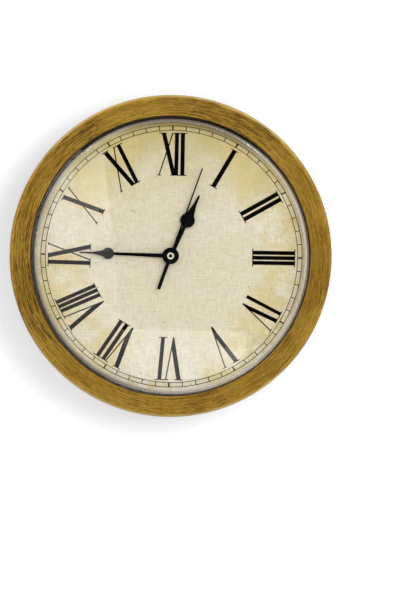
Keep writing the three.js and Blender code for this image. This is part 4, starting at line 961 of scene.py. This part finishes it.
def clear_plastic(place):
    x, _, z = axes(place)
    radius = (x * x + z * z) ** 0.5
    depth_seen = between(radius, (crown_radius + 0.6) * MM, (crown_radius + 2.6) * MM)
    depth_seen *= 1 - between(radius, (LENS_WALL_RADIUS - 1) * MM, (LENS_WALL_RADIUS - 0.3) * MM)
    # Painted light and shade: the grey edge is darker to the upper left and near white to the lower right,
    # where it also covers more.
    lit_low_right = between(x - z * 0.3, -0.02, 0.08)
    painted_edge_light = blend(lit_low_right, paint(168, 165, 170), paint(255, 250, 244))
    mirror = place.add("Fresnel", {}, {"IOR": PLASTIC_IOR})
    from_air = 1 - place.add("NewGeometry", {}, {}, "Backfacing")
    return {
        "Base Color": blend(depth_seen, paint(250, 250, 250), painted_edge_light),
        "Metallic": 1 - depth_seen * 0.85,
        "cover": mirror * from_air + depth_seen * (0.3 + 0.15 * lit_low_right),
    }


clear_lens = finish("clear_lens", {"Roughness": 0.015, "Specular IOR Level": 1.0}, clear_plastic)
assemble(lens, "lens_dome", clear_lens, "clock_front", "clear_lens", "lens")

# Hour and minute hands. Stamped from thin sheet and painted gloss black. Each has a round bulb that
# runs out through a drawn-in neck to a narrow tip.

HAND_HUB_RADIUS = 5.2
BULB_EXIT = 140
HAND_EDGE = 0.09
BORE_FRONT = -70
BORE_REAR = -50


def gloss_black(place):
    cloud = noise(place, 160, detail=3)
    return {
        "Base Color": blend(cloud, paint(3, 3, 5), paint(9, 9, 13)),
        "Roughness": 0.2 + 0.1 * cloud,
        "Normal": relief(noise(place, 900, detail=1), 0.000012),
    }


hand_black = finish("hand_black", {"Specular IOR Level": 0.08}, gloss_black)


def curve(start, lead, trail, end, steps=12):
    """Points after the start of a curve that leaves towards lead and arrives from trail."""
    points = [Vector(point) for point in (start, lead, trail, end)]
    made = []
    for step in range(1, steps + 1):
        share = step / steps
        rest = 1 - share
        weights = (rest ** 3, 3 * rest ** 2 * share, 3 * rest * share ** 2, share ** 3)
        made.append(tuple(sum((point * weight for point, weight in zip(points, weights)), Vector((0, 0)))))
    return made


def bulb_hand(node, angle, bulb, widths, neck, length):
    """Hand with its bulb's place and radius, and its widths at the hub, stem, neck and tip."""
    place, radius = bulb
    hub, stem, neck_width, tip = widths
    entry = math.degrees(math.asin(stem / 2 / radius))
    bulb_side = arc(0, place, radius, entry - 90, BULB_EXIT - 90, steps=28)
    start = bulb_side[-1]
    side = [
        (hub / 2, 0),
        *bulb_side,
        *curve(
            start,
            (start[0] - 0.15 * radius, start[1] + 0.12 * radius),
            (neck_width / 2 + 0.17 * radius, (start[1] + neck) / 2),
            (neck_width / 2, neck),
        ),
        (tip / 2, length - tip / 2),
        (tip / 4, length),
    ]
    outline = side + [(-across, along) for across, along in reversed(side)]
    low, high = limits(node)
    prism(aim(outline, angle, high.y), (0, low.y - high.y, 0))
    hand = closed()
    combine(hand, disc(HAND_HUB_RADIUS, low.y, high.y, 64), "UNION")
    return hand


# Each hand's name, its bore, and its shape as bulb_hand takes it.
HANDS = (
    ("hour", 3.25, (24.6, (31.0, 5.8), (3.4, 2.85, 2.4, 1.4), 45.3, 52.9)),
    ("minute", 2.45, (271.4, (49.3, 4.6), (3.6, 2.1, 1.8, 1.1), 60.5, 72.0)),
)
for name, bore, shape in HANDS:
    node = name + "_hand"
    hand = bulb_hand(node, *shape)
    combine(hand, disc(bore, BORE_FRONT, BORE_REAR, 48), "DIFFERENCE")
    ease(hand, HAND_EDGE)
    assemble(hand, node + "_blade", hand_black, name + "_work", "hand_black", node)

# Second hand. A black needle with a broad tail and a round hub, held by a pale brass eyelet whose
# rolled rim shows as a light ring. Its shallow hole is coloured dark olive as painted shade.

SECOND_ANGLE = 19.1
SECOND_HUB = 6.6
SECOND_LENGTH = 73.4
SECOND_TAIL = 28
TAIL_WIDTH = 2.75
NEEDLE_ROOT = 1.6
NEEDLE_TIP = 1.0
EYELET_RADIUS = 2.7
EYELET_HOLE = 1.65
EYELET_PIPE = 1.9
PIPE_GAP = 0.1
EYELET_FLANGE = 0.3
EYELET_DEPTH = 0.3

second_low, second_high = limits("second_hand")
needle = [(NEEDLE_ROOT / 2, 0), (NEEDLE_TIP / 2, SECOND_LENGTH)]
needle += [(-across, along) for across, along in reversed(needle)]
tail = rounded([
    (TAIL_WIDTH / 2, 0, 0),
    (TAIL_WIDTH / 2, -SECOND_TAIL, 0.3),
    (-TAIL_WIDTH / 2, -SECOND_TAIL, 0.3),
    (-TAIL_WIDTH / 2, 0, 0),
])
second_depth = second_low.y - second_high.y
prism(aim(needle, SECOND_ANGLE, second_high.y), (0, second_depth, 0))
second_hand = closed()
prism(aim(tail, SECOND_ANGLE, second_high.y), (0, second_depth, 0))
combine(second_hand, closed(), "UNION")
combine(second_hand, disc(SECOND_HUB, second_low.y, second_high.y, 72), "UNION")
combine(second_hand, disc(EYELET_PIPE + PIPE_GAP, BORE_FRONT, BORE_REAR, 48), "DIFFERENCE")
ease(second_hand, HAND_EDGE)
assemble(second_hand, "second_hand_needle", hand_black, "second_work", "hand_black", "second_hand")


def rolled_brass(place):
    cloud = noise(place, 700, detail=3)
    x, _, z = axes(place)
    # Painted shade: the eyelet's shallow hole is coloured dark olive, as the shade inside a deep hole.
    shade = between((x * x + z * z) ** 0.5, (EYELET_HOLE - 0.05) * MM, (EYELET_HOLE - 0.3) * MM)
    bright = blend(cloud, paint(246, 240, 208), paint(255, 252, 230))
    return {
        "Base Color": blend(shade, bright, paint(38, 36, 8)),
        "Roughness": 0.26 + 0.14 * cloud + 0.4 * shade,
        "Metallic": 0.3 - 0.3 * shade,
        "Normal": relief(cloud, 0.00001),
    }


eyelet_low, eyelet_high = limits("second_hand_bush")
brass = finish("rolled_brass", {"Specular IOR Level": 0.1}, rolled_brass)
eyelet_floor = eyelet_low.y + EYELET_DEPTH
flange_rear = second_low.y - EYELET_FLANGE
eyelet_outline = [
    (0, eyelet_high.y, 0),
    (EYELET_PIPE, eyelet_high.y, 0),
    (EYELET_PIPE, flange_rear, 0),
    (EYELET_RADIUS, flange_rear, 0.25),
    (EYELET_RADIUS, eyelet_low.y, 0.3),
    (EYELET_HOLE, eyelet_low.y, 0.15),
    (EYELET_HOLE, eyelet_floor, 0),
    (0, eyelet_floor, 0),
]
eyelet = turned(eyelet_outline, 64)
assemble(eyelet, "second_hand_eyelet", brass, "second_work", "brass", "second_hand_bush")

# Setting knob. A black moulded knob that stands out of the movement's rear cover and sets the hands.
# Flutes round its edge give the fingers a grip.

knob_low, knob_high = limits("setting_knob")
KNOB_FLUTES = 12
KNOB_POINTS = 144
FLUTE_DEPTH = 1.0
FLUTE_SHARE = 0.3

knob_x, knob_z = (knob_low.x + knob_high.x) / 2, (knob_low.z + knob_high.z) / 2
knob_radius = (knob_high.x - knob_low.x) / 2
knob_outline = []
for index in range(KNOB_POINTS):
    angle = math.tau * index / KNOB_POINTS
    from_flute = (index * KNOB_FLUTES / KNOB_POINTS + 0.5) % 1 - 0.5
    radius = knob_radius
    if abs(from_flute) < FLUTE_SHARE / 2:
        radius -= FLUTE_DEPTH * max(0.0, math.cos(math.pi * from_flute / FLUTE_SHARE))
    knob_outline.append((knob_x + radius * math.cos(angle), knob_low.y, knob_z + radius * math.sin(angle)))
prism(knob_outline, (0, knob_high.y - knob_low.y, 0))
knob = closed()
ease(knob, 0.35)
assemble(knob, "setting_knob_fluted", black_plastic, "motion_work", "black_plastic", "setting_knob")

# Battery. A steel can with a plain grey sleeve shrunk over its edges. Its raised button makes the
# positive contact at the top.

battery_low, battery_high = limits("battery")
BATTERY_RADIUS = (battery_high.x - battery_low.x) / 2
BUTTON_RADIUS = 2.7
SHOULDER = battery_high.z - 1.2
SLEEVE_INSET = 0.35
SLEEVE_BAND = 15

battery_at = ((battery_low.x + battery_high.x) / 2, (battery_low.y + battery_high.y) / 2)
can_outline = [
    (0, battery_low.z, 0),
    (BATTERY_RADIUS - 1.2, battery_low.z, 0.3),
    (BATTERY_RADIUS - 0.25, battery_low.z + 0.8, 0.3),
    (BATTERY_RADIUS - 0.25, SHOULDER - 0.6, 0.3),
    (BATTERY_RADIUS - 1.6, SHOULDER - 0.2, 0.2),
    (BUTTON_RADIUS, SHOULDER, 0),
    (BUTTON_RADIUS, battery_high.z, 0.5),
    (0, battery_high.z, 0),
]
can = turned(can_outline, 64, battery_at)
assemble(can, "battery_can", steel, "clock_front", "steel", "battery")


def sleeve_film(place):
    cloud = noise(place, 120, detail=3)
    band = between(axes(place)[2], (SLEEVE_BAND - 0.2) * MM, (SLEEVE_BAND + 0.2) * MM)
    colour = blend(cloud, paint(116, 116, 128), paint(132, 132, 144))
    return {
        "Base Color": blend(band, colour, paint(44, 42, 50)),
        "Roughness": 0.3 + 0.1 * cloud,
        "Normal": relief(noise(place, 60, detail=2), 0.00006),
    }


sleeve_plastic = finish("battery_sleeve", {"Metallic": 0.35, "Coat Weight": 0.3}, sleeve_film)
sleeve_foot = battery_low.z + SLEEVE_INSET
sleeve_outline = [
    (BATTERY_RADIUS - 1.5, sleeve_foot, 0.1),
    (BATTERY_RADIUS, sleeve_foot, 0.7),
    (BATTERY_RADIUS, SHOULDER - 0.05, 0.7),
    (BATTERY_RADIUS - 1.8, SHOULDER - 0.05, 0.1),
    (BATTERY_RADIUS - 1.8, SHOULDER - 0.15, 0),
    (BATTERY_RADIUS - 0.2, SHOULDER - 0.2, 0.5),
    (BATTERY_RADIUS - 0.2, sleeve_foot + 0.15, 0.5),
    (BATTERY_RADIUS - 1.5, sleeve_foot + 0.15, 0),
]
sleeve = turned(sleeve_outline, 64, battery_at)
assemble(sleeve, "battery_sleeve", sleeve_plastic, "clock_front", "battery_jacket")

# Movement. Its case, cover, plates, wheels, stepping motor and circuit keep their CAD shapes, and get
# the finish of what each is made of.

WIRE_PITCH = 0.25


def white_moulding(place):
    cloud = noise(place, 140, detail=3)
    return {
        "Base Color": blend(cloud, paint(226, 223, 212), paint(236, 234, 226)),
        "Roughness": 0.38 + 0.16 * cloud,
        "Normal": relief(noise(place, 1600, detail=1), 0.00001),
    }


def turned_metal(dark, light):
    """Pattern of a small metal part with fine tool marks."""
    def pattern(place):
        marks = noise(stretched(place, 300, 4000, 300), 1, detail=3)
        return {
            "Base Color": blend(marks, paint(*dark), paint(*light)),
            "Roughness": 0.22 + 0.2 * marks,
            "Normal": relief(marks, 0.000006),
        }
    return pattern


def wound_wire(place):
    along = axes(place)[0]
    turns = place.add("Math", {"operation": "SINE"}, {0: along * 2 * math.pi / (WIRE_PITCH * MM)})
    # Painted shade and light: the copper darkens between the turns and lightens on their crowns, at the
    # wire's pitch.
    turn_shade = between(turns, -1.0, 1.0)
    return {
        "Base Color": blend(turn_shade, paint(120, 56, 26), paint(206, 122, 70)),
        "Roughness": 0.3 + 0.1 * noise(place, 500),
        "Normal": relief(turn_shade, 0.00008),
    }


def board_resin(place):
    weave = noise(place, 2200, detail=1)
    return {
        "Base Color": blend(weave, paint(30, 82, 48), paint(46, 104, 62)),
        "Roughness": 0.35 + 0.15 * weave,
        "Normal": relief(weave, 0.00001),
    }


def soft_rubber(place):
    cloud = noise(place, 400, detail=4)
    return {
        "Base Color": blend(cloud, paint(30, 30, 31), paint(48, 47, 48)),
        "Roughness": 0.78 + 0.12 * cloud,
        "Normal": relief(noise(place, 1800, detail=2), 0.00003),
    }


white_plastic = finish("white_plastic", {}, white_moulding)
brass_turned = finish("brass_turned", {"Metallic": 1.0}, turned_metal((196, 158, 78), (222, 190, 112)))
magnet_grey = finish("magnet_grey", {"Metallic": 0.6}, turned_metal((78, 79, 84), (104, 105, 110)))
copper_wire = finish("copper_wire", {"Metallic": 0.85}, wound_wire)
circuit_resin = finish("circuit_resin", {}, board_resin)
rubber = finish("soft_rubber", {}, soft_rubber)

CARRIED = (
    (black_plastic, "movement_case movement_cover driver_chip"),
    (white_plastic, "train_plate train_bridge coil_bobbin centre_wheel hour_wheel second_wheel"),
    (white_plastic, "third_wheel fifth_wheel motion_wheel"),
    (brass_turned, "shaft_bush shaft_nut cannon_pinion"),
    (steel, "battery_contact_positive battery_contact_negative coil_core stator_plate quartz_crystal"),
    (magnet_grey, "rotor"),
    (copper_wire, "coil_winding"),
    (circuit_resin, "circuit_board"),
    (rubber, "rubber_cushion"),
)
for material, names in CARRIED:
    for name in names.split():
        mesh = frame["nodes"][name].data
        mesh.materials.clear()
        mesh.materials.append(material)

# Studio. A white wall behind the clock that shows only its front side, a pale floor below, and one
# soft key light from the right. Faint lamps beside it mirror in the lens as its streaks and veil.

WALL_Y = 0.0006
FLOOR_Z = -0.42
ROOM = 3.0

pick()
bpy.ops.mesh.primitive_plane_add(
    size=2 * ROOM, location=(0, WALL_Y, FLOOR_Z + ROOM), rotation=(math.pi / 2, 0, 0),
)
wall = bpy.context.object
wall.name = "studio_wall"
pick()
bpy.ops.mesh.primitive_plane_add(size=2 * ROOM, location=(0, 0, FLOOR_Z))
floor = bpy.context.object
floor.name = "studio_floor"


def floor_paint(place):
    """White that glows a little for the camera alone."""
    return {"Emission Color": place.add("LightPath", {}, {}, "Is Camera Ray")}


def wall_paint(place):
    """The same white, which only the camera sees, and only from the front."""
    glow = floor_paint(place)["Emission Color"]
    return {"Emission Color": glow, "cover": glow * (1 - place.add("NewGeometry", {}, {}, "Backfacing"))}


pale = {"Base Color": (0.9, 0.9, 0.9, 1), "Roughness": 0.9, "Specular IOR Level": 0.0}
pale["Emission Strength"] = 0.3
wall.data.materials.append(finish("studio_wall_white", pale, wall_paint))
floor.data.materials.append(finish("studio_floor_white", pale, floor_paint))

WORLD_LEVEL = 0.74
world = bpy.data.worlds.new("studio_world")
bpy.context.scene.world = world
world.use_nodes = True
background = world.node_tree.nodes["Background"]
background.inputs["Color"].default_value = (1, 1, 1, 1)
toward = Field(world.node_tree.nodes.new("ShaderNodeTexCoord").outputs["Generated"])
camera_side = between(0 - axes(toward)[1], 0.78, 0.97)
glossy = toward.add("LightPath", {}, {}, "Is Glossy Ray")
seen = toward.add("LightPath", {}, {}, "Is Camera Ray")
level = seen + glossy * (1 - camera_side * 0.98) + (1 - seen) * (1 - glossy) * WORLD_LEVEL
world.node_tree.links.new(level.socket, background.inputs["Strength"])


def lamp(name, place, target, size, power, turn=0):
    """A soft box that faces the target, turned by this many degrees."""
    bpy.ops.object.light_add(type="AREA", location=place)
    light = bpy.context.object
    light.name = name
    light.data.shape = "RECTANGLE"
    light.data.size, light.data.size_y = size
    light.data.energy = power
    aimed = (Vector(target) - Vector(place)).to_track_quat("-Z", "Y")
    light.rotation_euler = (aimed @ Quaternion((0, 0, 1), math.radians(turn))).to_euler()
    return light


CLOCK_FRONT = (0, -0.03, 0)
HAZE_TURN = 6.9

key = lamp("key_light", (0.8, -2.2, 0.35), CLOCK_FRONT, (0.7, 0.7), 16)
key.visible_glossy = False
for name, place, size, power in (
    ("streak_top", (0.36, -0.85, 1.25), (0.36, 0.06), 0.45),
    ("streak_right", (0.84, -0.85, 1.15), (0.42, 0.06), 0.75),
    ("streak_window", (-1.0, -0.85, 1.2), (0.26, 0.06), 1.7),
    ("streak_left", (-1.5, -0.9, 0.05), (0.1, 0.5), 1.2),
):
    streak = lamp(name, place, CLOCK_FRONT, size, power)
    streak.visible_diffuse = False
for name, (x, y, z), size, power, turn in (
    ("haze_left", (-0.207, -2.5, -0.04), (0.174, 0.52), 0.3, HAZE_TURN),
    ("haze_low", (0.022, -2.5, -0.232), (0.296, 0.135), 0.24, 0),
    ("haze_upper", (-0.225, -2.49, 0.17), (0.16, 0.16), 0.13, HAZE_TURN),
    ("haze_middle", (-0.215, -2.48, 0.045), (0.16, 0.09), 0.035, HAZE_TURN),
    ("haze_corner", (0.145, -2.49, -0.245), (0.09, 0.09), 0.045, 0),
):
    lamp(name, (x, y, z), (x, 0, z), size, power, turn)

CAMERA_DISTANCE = 2.5
SENSOR = 36
PHOTO_HEIGHT = 601
MM_PER_PIXEL = 0.787
CENTRE_RIGHT = 29.9
CENTRE_DOWN = 44.6
CAMERA_ROLL = 0.9

reach = CAMERA_DISTANCE + BEZEL_FACE * MM
bpy.ops.object.camera_add(
    location=(0, -CAMERA_DISTANCE, 0), rotation=(math.pi / 2, -math.radians(CAMERA_ROLL), 0),
)
camera = bpy.context.object
camera.data.sensor_width = SENSOR
camera.data.lens = SENSOR * reach / (PHOTO_HEIGHT * MM_PER_PIXEL * MM)
camera.data.shift_x = CENTRE_RIGHT / PHOTO_HEIGHT
camera.data.shift_y = -CENTRE_DOWN / PHOTO_HEIGHT
bpy.context.scene.camera = camera
bpy.context.scene.view_settings.view_transform = "Standard"
